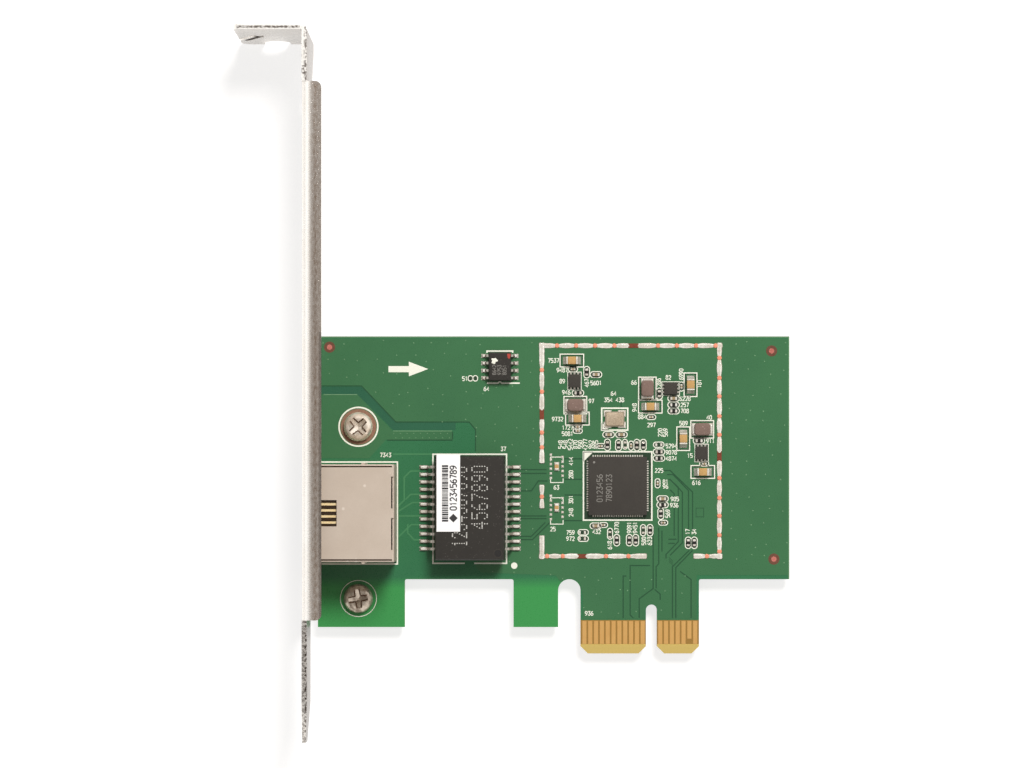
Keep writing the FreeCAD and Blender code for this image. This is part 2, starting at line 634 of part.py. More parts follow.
def mounting_bracket():
    corner = Vector(PLATE_INNER_X, TAB_TOP_Y, TAB_FAR_Z)
    face = bent_section(corner, Vector(-1, 0, 0), Vector(0, -1, 0), SHEET + TAB_LENGTH, BRACKET_HEIGHT)
    plate = face.extrude(Vector(0, 0, PLATE_NEAR_Z - TAB_FAR_Z))
    plate = plate.makeFillet(TAB_CORNER_NEAR, edges_at(plate, 1, [(TAB_END_X, PLATE_NEAR_Z)]))
    plate = plate.makeFillet(TAB_CORNER_FAR, edges_at(plate, 1, [(TAB_END_X, TAB_FAR_Z)]))
    plate_x = (PLATE_OUTER_X - MARGIN, PLATE_INNER_X + MARGIN)
    ear_ys = (SCREW_LOWER_Y, SCREW_UPPER_Y)
    waste = [far_edge_waste(), screw_notch(), tab_slit()] + tongue_nose_waste()
    flange_z = (PLATE_NEAR_Z - BEND_LEG, PLATE_NEAR_Z + MARGIN)
    waste.append(block(plate_x, (FLANGE_LOW_Y, FLANGE_HIGH_Y), flange_z))
    ear_z = (TAB_FAR_Z - MARGIN, PLATE_FAR_Z + BEND_LEG)
    waste += [block(plate_x, around(y, EAR_WIDTH), ear_z) for y in ear_ys]
    folded = plate.cut(waste).fuse([flange()] + [ear(y) for y in ear_ys])
    return folded.cut(jack_opening()).removeSplitter()


# ================================================================ screws
def cross_recess(top_z):
    """Cutters for the cross-shaped driver recess, deepest in the middle."""
    half = RECESS_LENGTH / 2
    core = RECESS_WIDTH / 2
    wing = [
        (-half, top_z + MARGIN), (-half, top_z - RECESS_WING_DEPTH), (-core, top_z - RECESS_DEPTH),
        (core, top_z - RECESS_DEPTH), (half, top_z - RECESS_WING_DEPTH), (half, top_z + MARGIN),
    ]
    along = prism_xz(wing, -core, core)
    across = along.copy()
    across.rotate(Vector(0, 0, 0), Vector(0, 0, 1), 90)
    return [along, across]


def pan_head_screw(y):
    """A pan-head screw, its head on the board's front and its end through the ear."""
    top_z = BOARD_FRONT + HEAD_HEIGHT
    end_z = BOARD_FRONT - SCREW_LENGTH
    outline = [
        (0, top_z), (0, end_z), (SCREW_RADIUS - SCREW_POINT, end_z), (SCREW_RADIUS, end_z + SCREW_POINT),
        (SCREW_RADIUS, BOARD_FRONT), (HEAD_RADIUS, BOARD_FRONT), (HEAD_RADIUS, BOARD_FRONT + HEAD_RIM),
        (HEAD_FLAT_RADIUS, top_z),
    ]
    corners = [Vector(radius, 0, z) for radius, z in outline]
    profile = Part.Face(Part.makePolygon(corners + [corners[0]]))
    screw = profile.revolve(Vector(0, 0, 0), Vector(0, 0, 1), 360).cut(cross_recess(top_z))
    screw.translate(Vector(SCREW_X, y, 0))
    return screw


# ================================================================ network jack
def shield_leg(y):
    """A leg of the shield that is soldered through the board."""
    low = BOARD_BACK - LEG_REACH
    tip = LEG_WIDTH / 4
    outline = [
        (LEG_X - LEG_WIDTH / 2, BOARD_FRONT + SHIELD_BEND), (LEG_X - LEG_WIDTH / 2, low + tip),
        (LEG_X - tip, low), (LEG_X + tip, low), (LEG_X + LEG_WIDTH / 2, low + tip),
        (LEG_X + LEG_WIDTH / 2, BOARD_FRONT + SHIELD_BEND),
    ]
    return prism_xz(outline, y - SHIELD_SHEET / 2, y + SHIELD_SHEET / 2)


def spring_slits(y):
    """Cutters that free a grounding spring from a side wall: a U of narrow slits."""
    x0 = JACK_FRONT_X + MARGIN
    x1 = x0 + SPRING_LENGTH
    middle = BOARD_FRONT + JACK_HEIGHT / 2
    y_range = (y - MARGIN, y + MARGIN)
    half = SPRING_WIDTH / 2
    return [
        block((x0, x1), y_range, (middle + half, middle + half + SPRING_SLIT)),
        block((x0, x1), y_range, (middle - half - SPRING_SLIT, middle - half)),
        block((x1 - SPRING_SLIT, x1), y_range, (middle - half, middle + half)),
    ]


def rear_tab_slots():
    """Cutters that show two tabs of the rear wall at the top: a slot beside each, closed at one end."""
    inner = JACK_BACK_X - SHIELD_SHEET
    slots = []
    for y in mirrored_y(REAR_SLOT_SPACING / 2):
        low, high = around(y, REAR_SLOT_LENGTH)
        slots.append(block((inner - REAR_SLOT_WIDTH, inner), (low, high),
                           (JACK_TOP_Z - MARGIN, JACK_TOP_Z + MARGIN)))
        slots.append(block((inner - REAR_SLOT_WIDTH, JACK_BACK_X + MARGIN), (high - REAR_SLOT_WIDTH, high),
                           (JACK_TOP_Z - REAR_SLOT_DEPTH, JACK_TOP_Z + MARGIN)))
    return slots


def rim_grooves():
    """Cutters for the grooves between the top sheet and the rims of the two side walls."""
    reach = JACK_WIDTH / 2 - RIM_WIDTH - RIM_GROOVE_WIDTH / 2
    z_range = (JACK_TOP_Z - RIM_GROOVE_DEPTH, JACK_TOP_Z + MARGIN)
    x_range = (JACK_FRONT_X - MARGIN, JACK_BACK_X - RIM_WIDTH)
    return [block(x_range, around(y, RIM_GROOVE_WIDTH), z_range) for y in mirrored_y(reach)]


def jack_shield():
    """Thin metal can, open at the mouth and underneath."""
    y_range = around(JACK_Y, JACK_WIDTH)
    can = block((JACK_FRONT_X, JACK_BACK_X), y_range, (BOARD_FRONT, JACK_TOP_Z))
    long_edges = edges_at(can, 0, [(y_range[0], JACK_TOP_Z), (y_range[1], JACK_TOP_Z)])
    rear_edge = edges_at(can, 1, [(JACK_BACK_X, JACK_TOP_Z)])
    can = can.makeFillet(SHIELD_BEND, long_edges + rear_edge)
    inside_x = (JACK_FRONT_X - MARGIN, JACK_BACK_X - SHIELD_SHEET)
    inside_z = (BOARD_FRONT - MARGIN, JACK_TOP_Z - SHIELD_SHEET)
    inside = block(inside_x, around(JACK_Y, JACK_WIDTH - 2 * SHIELD_SHEET), inside_z)
    top = (JACK_TOP_Z - MARGIN, JACK_TOP_Z + MARGIN)
    window_x = JACK_FRONT_X + SHIELD_WINDOW_FROM_FRONT
    waste = [block((window_x, window_x + SHIELD_WINDOW_LENGTH), around(JACK_Y, SHIELD_WINDOW_WIDTH), top)]
    waste += rear_tab_slots() + rim_grooves()
    for y in mirrored_y(LEG_Y_OFFSET):
        waste += spring_slits(y)
    nick_x = JACK_BACK_X - NICK_FROM_BACK
    nicks = [rod(nick_x, y, NICK_RADIUS, BOARD_FRONT + MARGIN, JACK_TOP_Z - SHIELD_BEND) for y in y_range]
    legs = [shield_leg(y) for y in mirrored_y(LEG_Y_OFFSET)]
    return can.fuse(nicks + legs).cut(waste + [inside.cut(legs)]).removeSplitter()


def comb_slots():
    """Cutters for the slots that guide the sprung contacts down into the plug cavity."""
    first = JACK_Y - (WIRE_COUNT - 1) * WIRE_PITCH / 2
    x_range = (JACK_FRONT_X + COMB_FROM_FRONT, JACK_FRONT_X + COMB_FROM_FRONT + COMB_LENGTH)
    z_range = (BOARD_FRONT + PLUG_FLOOR + PLUG_HEIGHT - MARGIN, JACK_TOP_Z)
    return [block(x_range, around(first + index * WIRE_PITCH, COMB_SLOT_WIDTH), z_range)
            for index in range(WIRE_COUNT)]


def jack_housing():
    """Moulded insert with the plug cavity, latch channel, contact comb and locating posts."""
    skin = SHIELD_SHEET + HOUSING_GAP
    front = JACK_FRONT_X + HOUSING_GAP
    back = JACK_BACK_X - skin
    top = JACK_TOP_Z - skin
    housing = block((front, back), around(JACK_Y, JACK_WIDTH - 2 * skin), (BOARD_FRONT, top))
    floor = BOARD_FRONT + PLUG_FLOOR
    mouth = front - MARGIN
    comb_end = JACK_FRONT_X + COMB_FROM_FRONT + COMB_LENGTH
    tails_width = (WIRE_COUNT - 1) * TAIL_PITCH + WIRE_WIDTH + MARGIN
    tails_y = around(JACK_Y, tails_width)
    recess_z = (top - WIRE_RECESS_DEPTH, top + MARGIN)
    plug_z = (floor, floor + PLUG_HEIGHT)
    latch_z = (floor - LATCH_HEIGHT, floor)
    waste = [
        block((mouth, JACK_FRONT_X + PLUG_DEPTH), around(JACK_Y, PLUG_WIDTH), plug_z),
        block((mouth, JACK_FRONT_X + LATCH_DEPTH), around(JACK_Y, LATCH_WIDTH), latch_z),
        block((comb_end - MARGIN, back + MARGIN), tails_y, recess_z),
        block((back - TAIL_POCKET_DEPTH, back + MARGIN), tails_y, (BOARD_FRONT - MARGIN, top)),
    ]
    posts = [rod(POST_X, y, POST_RADIUS, BOARD_BACK - POST_REACH, BOARD_FRONT)
             for y in mirrored_y(POST_SPACING / 2)]
    housing = housing.cut(waste + comb_slots())
    return housing.fuse(posts).removeSplitter()


def jack_contact(index):
    """One sprung contact: tail, run along the top, bend at the mouth and slope into the cavity."""
    middle = (WIRE_COUNT - 1) / 2
    spring_y = JACK_Y + (index - middle) * WIRE_PITCH
    tail_x, tail_y = tail_places()[index]
    run_z = WIRE_TOP_Z - WIRE_THICKNESS / 2
    bend_x = JACK_FRONT_X + COMB_FROM_FRONT + WIRE_THICKNESS
    comb_end = JACK_FRONT_X + COMB_FROM_FRONT + COMB_LENGTH
    spring_line = [
        (comb_end, run_z), (bend_x + WIRE_BEND, run_z), (bend_x, run_z - WIRE_BEND),
        (bend_x, run_z - 2 * WIRE_BEND), (bend_x + WIRE_BEND, run_z - 3 * WIRE_BEND),
        (bend_x + WIRE_SLOPE_RUN, run_z - WIRE_SLOPE_DROP),
        (bend_x + WIRE_SLOPE_RUN + WIRE_TIP_RUN, run_z - WIRE_SLOPE_DROP + WIRE_TIP_RISE),
    ]
    wire_y = around(spring_y, WIRE_WIDTH)
    spring = prism_xz(ribbon(spring_line, WIRE_THICKNESS), wire_y[0], wire_y[1])
    jog_line = [
        (comb_end - WIRE_BEND, spring_y), (comb_end, spring_y), (comb_end + WIRE_JOG, tail_y),
        (tail_x + WIRE_THICKNESS / 2, tail_y),
    ]
    jog = prism_xy(ribbon(jog_line, WIRE_WIDTH), WIRE_TOP_Z - WIRE_THICKNESS, WIRE_TOP_Z)
    tail_z = (BOARD_BACK - TAIL_REACH, WIRE_TOP_Z)
    tail = block(around(tail_x, WIRE_THICKNESS), around(tail_y, WIRE_WIDTH), tail_z)
    return spring.fuse([jog, tail]).removeSplitter()


def solder_cone(x, y, radius, pin_x, pin_y):
    """A tapered collar of solder round a pin on the board's back, with few faces since it repeats."""
    turns = [2 * math.pi * (side + 0.5) / CONE_SIDES for side in range(CONE_SIDES)]
    sections = []
    for reach, z in ((radius, BOARD_BACK), (radius * CONE_TIP_SHARE, BOARD_BACK - SOLDER_CONE_HEIGHT)):
        corners = [Vector(x + reach * math.cos(turn), y + reach * math.sin(turn), z) for turn in turns]
        sections.append(corners)
    cone = tapered_prism(sections[0], sections[1])
    pin_z = (BOARD_BACK - SOLDER_CONE_HEIGHT - MARGIN, BOARD_FRONT)
    return cone.cut(block(around(x, pin_x), around(y, pin_y), pin_z))


def jack_solder_joints():
    tails = [solder_cone(x, y, TAIL_CONE_RADIUS, WIRE_THICKNESS, WIRE_WIDTH) for x, y in tail_places()]
    leg_ys = mirrored_y(LEG_Y_OFFSET)
    return tails + [solder_cone(LEG_X, y, LEG_CONE_RADIUS, LEG_WIDTH, SHIELD_SHEET) for y in leg_ys]


# ================================================================ leaded packages
def gull_wing(root_x, tip_x, root_z, y, width, thickness, shoulder, foot):
    """One lead: out of the body, down, and along its pad.  tip_x may lie to either side of root_x."""
    side = 1 if tip_x > root_x else -1
    foot_z = SEAT_Z + thickness / 2
    line = [
        (root_x, root_z), (root_x + side * shoulder, root_z),
        (tip_x - side * foot, foot_z), (tip_x, foot_z),
    ]
    return prism_xz(ribbon(line, thickness), y - width / 2, y + width / 2)


def magnetics_body():
    low = SEAT_Z + MAGNETICS_STANDOFF
    body = tapered_body((MAGNETICS_X, MAGNETICS_Y), (MAGNETICS_WIDTH, MAGNETICS_LENGTH),
                        (low, low + MAGNETICS_HEIGHT), MAGNETICS_DRAFT)
    x = MAGNETICS_X + MAGNETICS_WIDTH / 2 - DIMPLE_INSET_X
    y = MAGNETICS_Y - MAGNETICS_LENGTH / 2 + DIMPLE_INSET_Y
    top = low + MAGNETICS_HEIGHT
    return body.cut(rod(x, y, DIMPLE_RADIUS, top - DIMPLE_DEPTH, top + MARGIN))


def magnetics_leads(side):
    first = MAGNETICS_Y - (LEADS_PER_SIDE - 1) * LEAD_PITCH / 2
    root_z = SEAT_Z + MAGNETICS_STANDOFF + MAGNETICS_HEIGHT / 2
    root_x = MAGNETICS_X + side * MAGNETICS_WIDTH / 2
    tip_x = MAGNETICS_X + side * MAGNETICS_SPAN / 2
    return [gull_wing(root_x, tip_x, root_z, first + index * LEAD_PITCH, LEAD_WIDTH, LEAD_THICKNESS,
                      LEAD_SHOULDER, LEAD_FOOT) for index in range(LEADS_PER_SIDE)]


def magnetics_label():
    left = MAGNETICS_X - MAGNETICS_WIDTH / 2 + MAGNETICS_DRAFT + LABEL_INSET
    high = MAGNETICS_Y + MAGNETICS_LENGTH / 2 + LABEL_OVERHANG - MAGNETICS_DRAFT
    low_z = SEAT_Z + MAGNETICS_STANDOFF + MAGNETICS_HEIGHT
    return block((left, left + LABEL_WIDTH), (high - LABEL_LENGTH, high), (low_z, low_z + LABEL_THICKNESS))


def memory_body():
    low = SEAT_Z + MEMORY_STANDOFF
    return tapered_body((MEMORY_X, MEMORY_Y), (MEMORY_WIDTH, MEMORY_LENGTH), (low, low + MEMORY_HEIGHT),
                        MEMORY_DRAFT)


def memory_leads():
    first = MEMORY_Y - (MEMORY_PINS - 1) * LEAD_PITCH / 2
    root_z = SEAT_Z + MEMORY_STANDOFF + MEMORY_HEIGHT / 2
    leads = []
    for side in (-1, 1):
        root_x = MEMORY_X + side * MEMORY_WIDTH / 2
        tip_x = MEMORY_X + side * MEMORY_SPAN / 2
        for index in range(MEMORY_PINS):
            leads.append(gull_wing(root_x, tip_x, root_z, first + index * LEAD_PITCH, MEMORY_LEAD_WIDTH,
                                   MEMORY_LEAD_THICKNESS, MEMORY_LEAD_SHOULDER, MEMORY_LEAD_FOOT))
    return leads


# ================================================================ leadless packages
def controller_body():
    """Flat square package with a small cut corner that marks contact one."""
    half = CONTROLLER_SIDE / 2
    cut = CONTROLLER_CORNER
    outline = [(-half, -half), (half, -half), (half, half), (-half + cut, half), (-half, half - cut)]
    outline = [(CONTROLLER_X + x, CONTROLLER_Y + y) for x, y in outline]
    return prism_xy(outline, SEAT_Z, SEAT_Z + CONTROLLER_HEIGHT)


def controller_contacts():
    """Contacts round the four sides, each partly under the body."""
    centre = (CONTROLLER_X, CONTROLLER_Y)
    first = CONTROLLER_X - (CONTROLLER_PADS - 1) * CONTROLLER_PAD_PITCH / 2
    high = CONTROLLER_Y + CONTROLLER_SIDE / 2 + CONTROLLER_PAD_REACH
    contacts = []
    for quarter in range(4):
        for index in range(CONTROLLER_PADS):
            pad = block(around(first + index * CONTROLLER_PAD_PITCH, CONTROLLER_PAD_WIDTH),
                        (high - CONTROLLER_PAD_LENGTH, high), (BOARD_FRONT, SEAT_Z))
            pad.rotate(Vector(centre[0], centre[1], 0), Vector(0, 0, 1), 90 * quarter)
            contacts.append(pad)
    return contacts


def crystal_base():
    return block(around(CRYSTAL_X, CRYSTAL_LENGTH), around(CRYSTAL_Y, CRYSTAL_WIDTH),
                 (SEAT_Z, SEAT_Z + CRYSTAL_BASE_HEIGHT))


def crystal_lid():
    low = SEAT_Z + CRYSTAL_BASE_HEIGHT
    x_range = around(CRYSTAL_X, CRYSTAL_LENGTH - 2 * CRYSTAL_LID_INSET)
    y_range = around(CRYSTAL_Y, CRYSTAL_WIDTH - 2 * CRYSTAL_LID_INSET)
    lid = block(x_range, y_range, (low, low + CRYSTAL_LID_HEIGHT))
    corners = [(x, y) for x in x_range for y in y_range]
    return lid.makeFillet(2 * CRYSTAL_LID_INSET, edges_at(lid, 2, corners))


def power_chip_body(place):
    x, y, standing = place
    z_range = (SEAT_Z, SEAT_Z + POWER_CHIP_HEIGHT)
    body = block(around(x, POWER_CHIP_LENGTH), around(y, POWER_CHIP_WIDTH), z_range)
    return turned(body, place, standing)


def power_chip_contacts(place):
    """Three contacts at each end of a power chip."""
    x, y, standing = place
    contacts = []
    for side in (-1, 1):
        outer = x + side * (POWER_CHIP_LENGTH / 2 + POWER_CHIP_PAD_REACH)
        inner = outer - side * POWER_CHIP_PAD_LENGTH
        for step in (-1, 0, 1):
            pad = block((min(inner, outer), max(inner, outer)),
                        around(y + step * POWER_CHIP_PITCH, POWER_CHIP_PAD_WIDTH), (BOARD_FRONT, SEAT_Z))
            contacts.append(turned(pad, place, standing))
    return contacts


# ================================================================ two-ended chip parts
def chip_body(place, size, end):
    """The middle of a two-ended part, between its end caps."""
    x, y, standing = place
    length, width, height = size
    body = block(around(x, length - 2 * end), around(y, width), (SEAT_Z, SEAT_Z + height))
    return turned(body, place, standing)


def chip_ends(place, size, end, growth=0.0):
    """The two end caps, a little larger than the body where growth is given."""
    x, y, standing = place
    length, width, height = size
    ends = []
    for side in (-1, 1):
        outer = x + side * length / 2
        inner = outer - side * end
        cap = block((min(inner, outer), max(inner, outer)), around(y, width + 2 * growth),
                    (SEAT_Z, SEAT_Z + height + growth))
        ends.append(turned(cap, place, standing))
    return ends


def end_fillets(place, size, reach):
    """Sloping solder at both ends of a part, down to the outer end of its pad."""
    x, y, standing = place
    length, width, height = size
    fillets = []
    for side in (-1, 1):
        foot = x + side * length / 2
        profile = [(foot, SEAT_Z), (foot, SEAT_Z + height * FILLET_SHARE), (foot + side * reach, SEAT_Z)]
        fillets.append(turned(prism_xz(profile, y - width / 2, y + width / 2), place, standing))
    return fillets


def pad_pair(place, length, width, reach, end):
    """The two lands of a two-ended part, from under its end caps to a little beyond them."""
    x, y, standing = place
    pads = []
    for side in (-1, 1):
        outer = x + side * (length / 2 + reach)
        inner = x + side * (length / 2 - end)
        pad = block((min(inner, outer), max(inner, outer)), around(y, width), (BOARD_FRONT, SEAT_Z))
        pads.append(turned(pad, place, standing))
    return pads


def placed(lying, standing):
    return [(x, y, False) for x, y in lying] + [(x, y, True) for x, y in standing]


CAPACITOR_SIZE = (CAPACITOR_LENGTH, CAPACITOR_WIDTH, CAPACITOR_HEIGHT)
INDUCTOR_SIZE = (INDUCTOR_LENGTH, INDUCTOR_WIDTH, INDUCTOR_HEIGHT)
RESISTOR_SIZE = (SMALL_LENGTH, SMALL_WIDTH, RESISTOR_HEIGHT)
SMALL_CAPACITOR_SIZE = (SMALL_LENGTH, SMALL_WIDTH, SMALL_CAPACITOR_HEIGHT)
TINY_SIZE = (TINY_LENGTH, TINY_WIDTH, TINY_HEIGHT)
CAPACITORS = placed(CAPACITORS_LYING, CAPACITORS_STANDING)
RESISTORS = placed(RESISTORS_LYING, RESISTORS_STANDING)
SMALL_CAPACITORS = placed(SMALL_CAPACITORS_LYING, [])
TINY_PARTS = placed(TINY_PARTS_LYING, TINY_PARTS_STANDING)
EMPTY_PADS = placed(EMPTY_PADS_LYING, EMPTY_PADS_STANDING)


def inductor_core(place):
    """Ferrite block with cut corners, raised over its two terminals."""
    x, y, standing = place
    half_x = INDUCTOR_LENGTH / 2
    half_y = INDUCTOR_WIDTH / 2
    cut = INDUCTOR_CHAMFER
    outline = [
        (half_x, half_y - cut), (half_x - cut, half_y), (cut - half_x, half_y), (-half_x, half_y - cut),
        (-half_x, cut - half_y), (cut - half_x, -half_y), (half_x - cut, -half_y), (half_x, cut - half_y),
    ]
    core = prism_xy([(x + u, y + v) for u, v in outline], SEAT_Z, SEAT_Z + INDUCTOR_HEIGHT)
    return turned(core, place, standing)


def inductor_terminals(place):
    x, y, standing = place
    width = INDUCTOR_WIDTH - 2 * INDUCTOR_CHAMFER
    z_range = (SEAT_Z, SEAT_Z + INDUCTOR_TERMINAL_HEIGHT)
    terminals = []
    for side in (-1, 1):
        inner = x + side * INDUCTOR_LENGTH / 2
        outer = inner + side * INDUCTOR_TERMINAL
        terminal = block((min(inner, outer), max(inner, outer)), around(y, width), z_range)
        terminals.append(turned(terminal, place, standing))
    return terminals


# ================================================================ board finish with thickness
def fence_strips():
    """Tinned strips round the circuit, with the gaps where nets pass out of it."""
    strip_z = (BOARD_FRONT, BOARD_FRONT + FENCE_THICKNESS)
    outer = block((FENCE_LEFT, FENCE_RIGHT), (FENCE_LOW, FENCE_HIGH), strip_z)
    z_range = (BOARD_FRONT - MARGIN, BOARD_FRONT + MARGIN)
    inner_x = (FENCE_LEFT + FENCE_WIDTH, FENCE_RIGHT - FENCE_WIDTH)
    inner_y = (FENCE_LOW + FENCE_WIDTH, FENCE_HIGH - FENCE_WIDTH)
    waste = [
        block(inner_x, inner_y, z_range),
        block(FENCE_LOW_GAP, (FENCE_LOW - MARGIN, FENCE_LOW + FENCE_WIDTH + MARGIN), z_range),
    ]
    for gap in FENCE_LEFT_GAPS:
        waste.append(block((FENCE_LEFT - MARGIN, FENCE_LEFT + FENCE_WIDTH + MARGIN), gap, z_range))
    return outer.cut(waste).Solids


def header_pads():
    """Lands of the two small connectors that this card leaves empty."""
    pads = []
    z_range = (BOARD_FRONT, SEAT_Z)
    for centre_y in HEADER_YS:
        for count, x in ((HEADER_PADS_LEFT, HEADER_X - HEADER_HALF_WIDTH),
                         (HEADER_PADS_RIGHT, HEADER_X + HEADER_HALF_WIDTH)):
            low = centre_y - (count - 1) * HEADER_PITCH / 2
            for index in range(count):
                y = low + index * HEADER_PITCH
                pads.append(block(around(x, HEADER_PAD_SIDE), around(y, HEADER_PAD_SIDE), z_range))
        middle_x, middle_y = HEADER_MIDDLE_PAD
        pads.append(block(around(HEADER_X, middle_x), around(centre_y, middle_y), z_range))
    return pads


def crystal_pads():
    pads = []
    for side_x in (-1, 1):
        for side_y in (-1, 1):
            outer_x = CRYSTAL_X + side_x * (CRYSTAL_LENGTH / 2 + CRYSTAL_PAD_REACH)
            outer_y = CRYSTAL_Y + side_y * (CRYSTAL_WIDTH / 2 + CRYSTAL_PAD_REACH)
            inner_x = outer_x - side_x * CRYSTAL_PAD_LENGTH
            inner_y = outer_y - side_y * CRYSTAL_PAD_WIDTH
            pads.append(block((min(inner_x, outer_x), max(inner_x, outer_x)),
                              (min(inner_y, outer_y), max(inner_y, outer_y)), (BOARD_FRONT, SEAT_Z)))
    return pads


def lead_pads():
    """Lands under the leads of the magnetics module and the memory chip."""
    pads = []
    rows = [
        (MAGNETICS_X, MAGNETICS_Y, MAGNETICS_SPAN, LEADS_PER_SIDE, LEAD_FOOT, LEAD_WIDTH),
        (MEMORY_X, MEMORY_Y, MEMORY_SPAN, MEMORY_PINS, MEMORY_LEAD_FOOT, MEMORY_LEAD_WIDTH),
    ]
    for x, y, span, count, foot, width in rows:
        first = y - (count - 1) * LEAD_PITCH / 2
        for side in (-1, 1):
            outer = x + side * (span / 2 + SMALL_PAD_REACH)
            inner = x + side * (span / 2 - foot)
            for index in range(count):
                pads.append(block((min(inner, outer), max(inner, outer)),
                                  around(first + index * LEAD_PITCH, width + 2 * SMALL_PAD_REACH),
                                  (BOARD_FRONT, SEAT_Z)))
    return pads


def solder_lands():
    pads = header_pads() + crystal_pads() + lead_pads()
    for place in CAPACITORS:
        pads += pad_pair(place, CAPACITOR_LENGTH, CAPACITOR_WIDTH, FILLET_LENGTH, CAPACITOR_END)
    terminal_reach = INDUCTOR_TERMINAL + SMALL_PAD_REACH
    for place in INDUCTORS.values():
        pads += pad_pair(place, INDUCTOR_LENGTH, INDUCTOR_WIDTH, terminal_reach, INDUCTOR_TERMINAL)
    for place in RESISTORS + SMALL_CAPACITORS + EMPTY_PADS:
        pads += pad_pair(place, SMALL_LENGTH, SMALL_WIDTH, SMALL_PAD_REACH, SMALL_END)
    for place in TINY_PARTS:
        pads += pad_pair(place, TINY_LENGTH, TINY_WIDTH, SMALL_PAD_REACH, TINY_END)
    return pads


def solder_fillets():
    fillets = []
    for place in CAPACITORS:
        fillets += end_fillets(place, CAPACITOR_SIZE, FILLET_LENGTH)
    return fillets


# ================================================================ the whole card
def joined(groups):
    """One flat list from a list of lists."""
    return [shape for group in groups for shape in group]


def card_nodes():
    nodes = {
        "circuit_board": [circuit_board()],
        "edge_contacts_front": edge_contacts(1, SHORT_CONTACT_FRONT),
        "edge_contacts_back": edge_contacts(-1, 0),
        "mounting_bracket": [mounting_bracket()],
        "bracket_screw_upper": [pan_head_screw(SCREW_UPPER_Y)],
        "bracket_screw_lower": [pan_head_screw(SCREW_LOWER_Y)],
        "jack_shield": [jack_shield()],
        "jack_housing": [jack_housing()],
        "jack_contacts": [jack_contact(index) for index in range(WIRE_COUNT)],
        "jack_solder_joints": jack_solder_joints(),
        "transformer_body": [magnetics_body()],
        "transformer_leads_left": magnetics_leads(-1),
        "transformer_leads_right": magnetics_leads(1),
        "transformer_label": [magnetics_label()],
        "controller_chip": [controller_body()],
        "controller_chip_contacts": controller_contacts(),
        "memory_chip": [memory_body()],
        "memory_chip_leads": memory_leads(),
        "crystal_base": [crystal_base()],
        "crystal_lid": [crystal_lid()],
    }
    for name, place in INDUCTORS.items():
        nodes["inductor_" + name + "_core"] = [inductor_core(place)]
        nodes["inductor_" + name + "_terminals"] = inductor_terminals(place)
    for name, place in POWER_CHIPS.items():
        nodes["power_chip_" + name] = [power_chip_body(place)]
        nodes["power_chip_" + name + "_contacts"] = power_chip_contacts(place)
    for number, place in enumerate(CAPACITORS, start=1):
        node = "capacitor_" + str(number)
        nodes[node + "_body"] = [chip_body(place, CAPACITOR_SIZE, CAPACITOR_END)]
        nodes[node + "_ends"] = chip_ends(place, CAPACITOR_SIZE, CAPACITOR_END, CAPACITOR_END_GROWTH)
    nodes["chip_resistors"] = [chip_body(place, RESISTOR_SIZE, SMALL_END) for place in RESISTORS]
    nodes["chip_resistor_ends"] = joined([chip_ends(place, RESISTOR_SIZE, SMALL_END) for place in RESISTORS])
    size = SMALL_CAPACITOR_SIZE
    nodes["small_capacitors"] = [chip_body(place, size, SMALL_END) for place in SMALL_CAPACITORS]
    nodes["small_capacitor_ends"] = joined([chip_ends(place, size, SMALL_END) for place in SMALL_CAPACITORS])
    nodes["tiny_capacitors"] = [chip_body(place, TINY_SIZE, TINY_END) for place in TINY_PARTS]
    nodes["tiny_capacitor_ends"] = joined([chip_ends(place, TINY_SIZE, TINY_END) for place in TINY_PARTS])
    nodes["fence_solder_strips"] = fence_strips()
    nodes["solder_lands"] = solder_lands()
    nodes["solder_fillets"] = solder_fillets()
    return nodes


os.makedirs("parts", exist_ok=True)
for node_name, solids in card_nodes().items():
    shape = solids[0] if len(solids) == 1 else Part.makeCompound(solids)
    shape.exportStep("parts/" + node_name + ".step")
    print(node_name, len(shape.Solids), round(shape.Volume, 3), shape.isValid())
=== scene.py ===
"""Looks of a network interface card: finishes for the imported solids, and the fine detail laid over them.

The card lies on its back with its components up.  Every length and place below is in millimetres in the
card's own frame, with its origin at the key notch's mouth, and becomes metres when a mesh is made.
Colours are as a screen shows them, each part from 0 to 255.
"""
import json
import logging
import math
from dataclasses import dataclass
from enum import Enum
from typing import Sequence

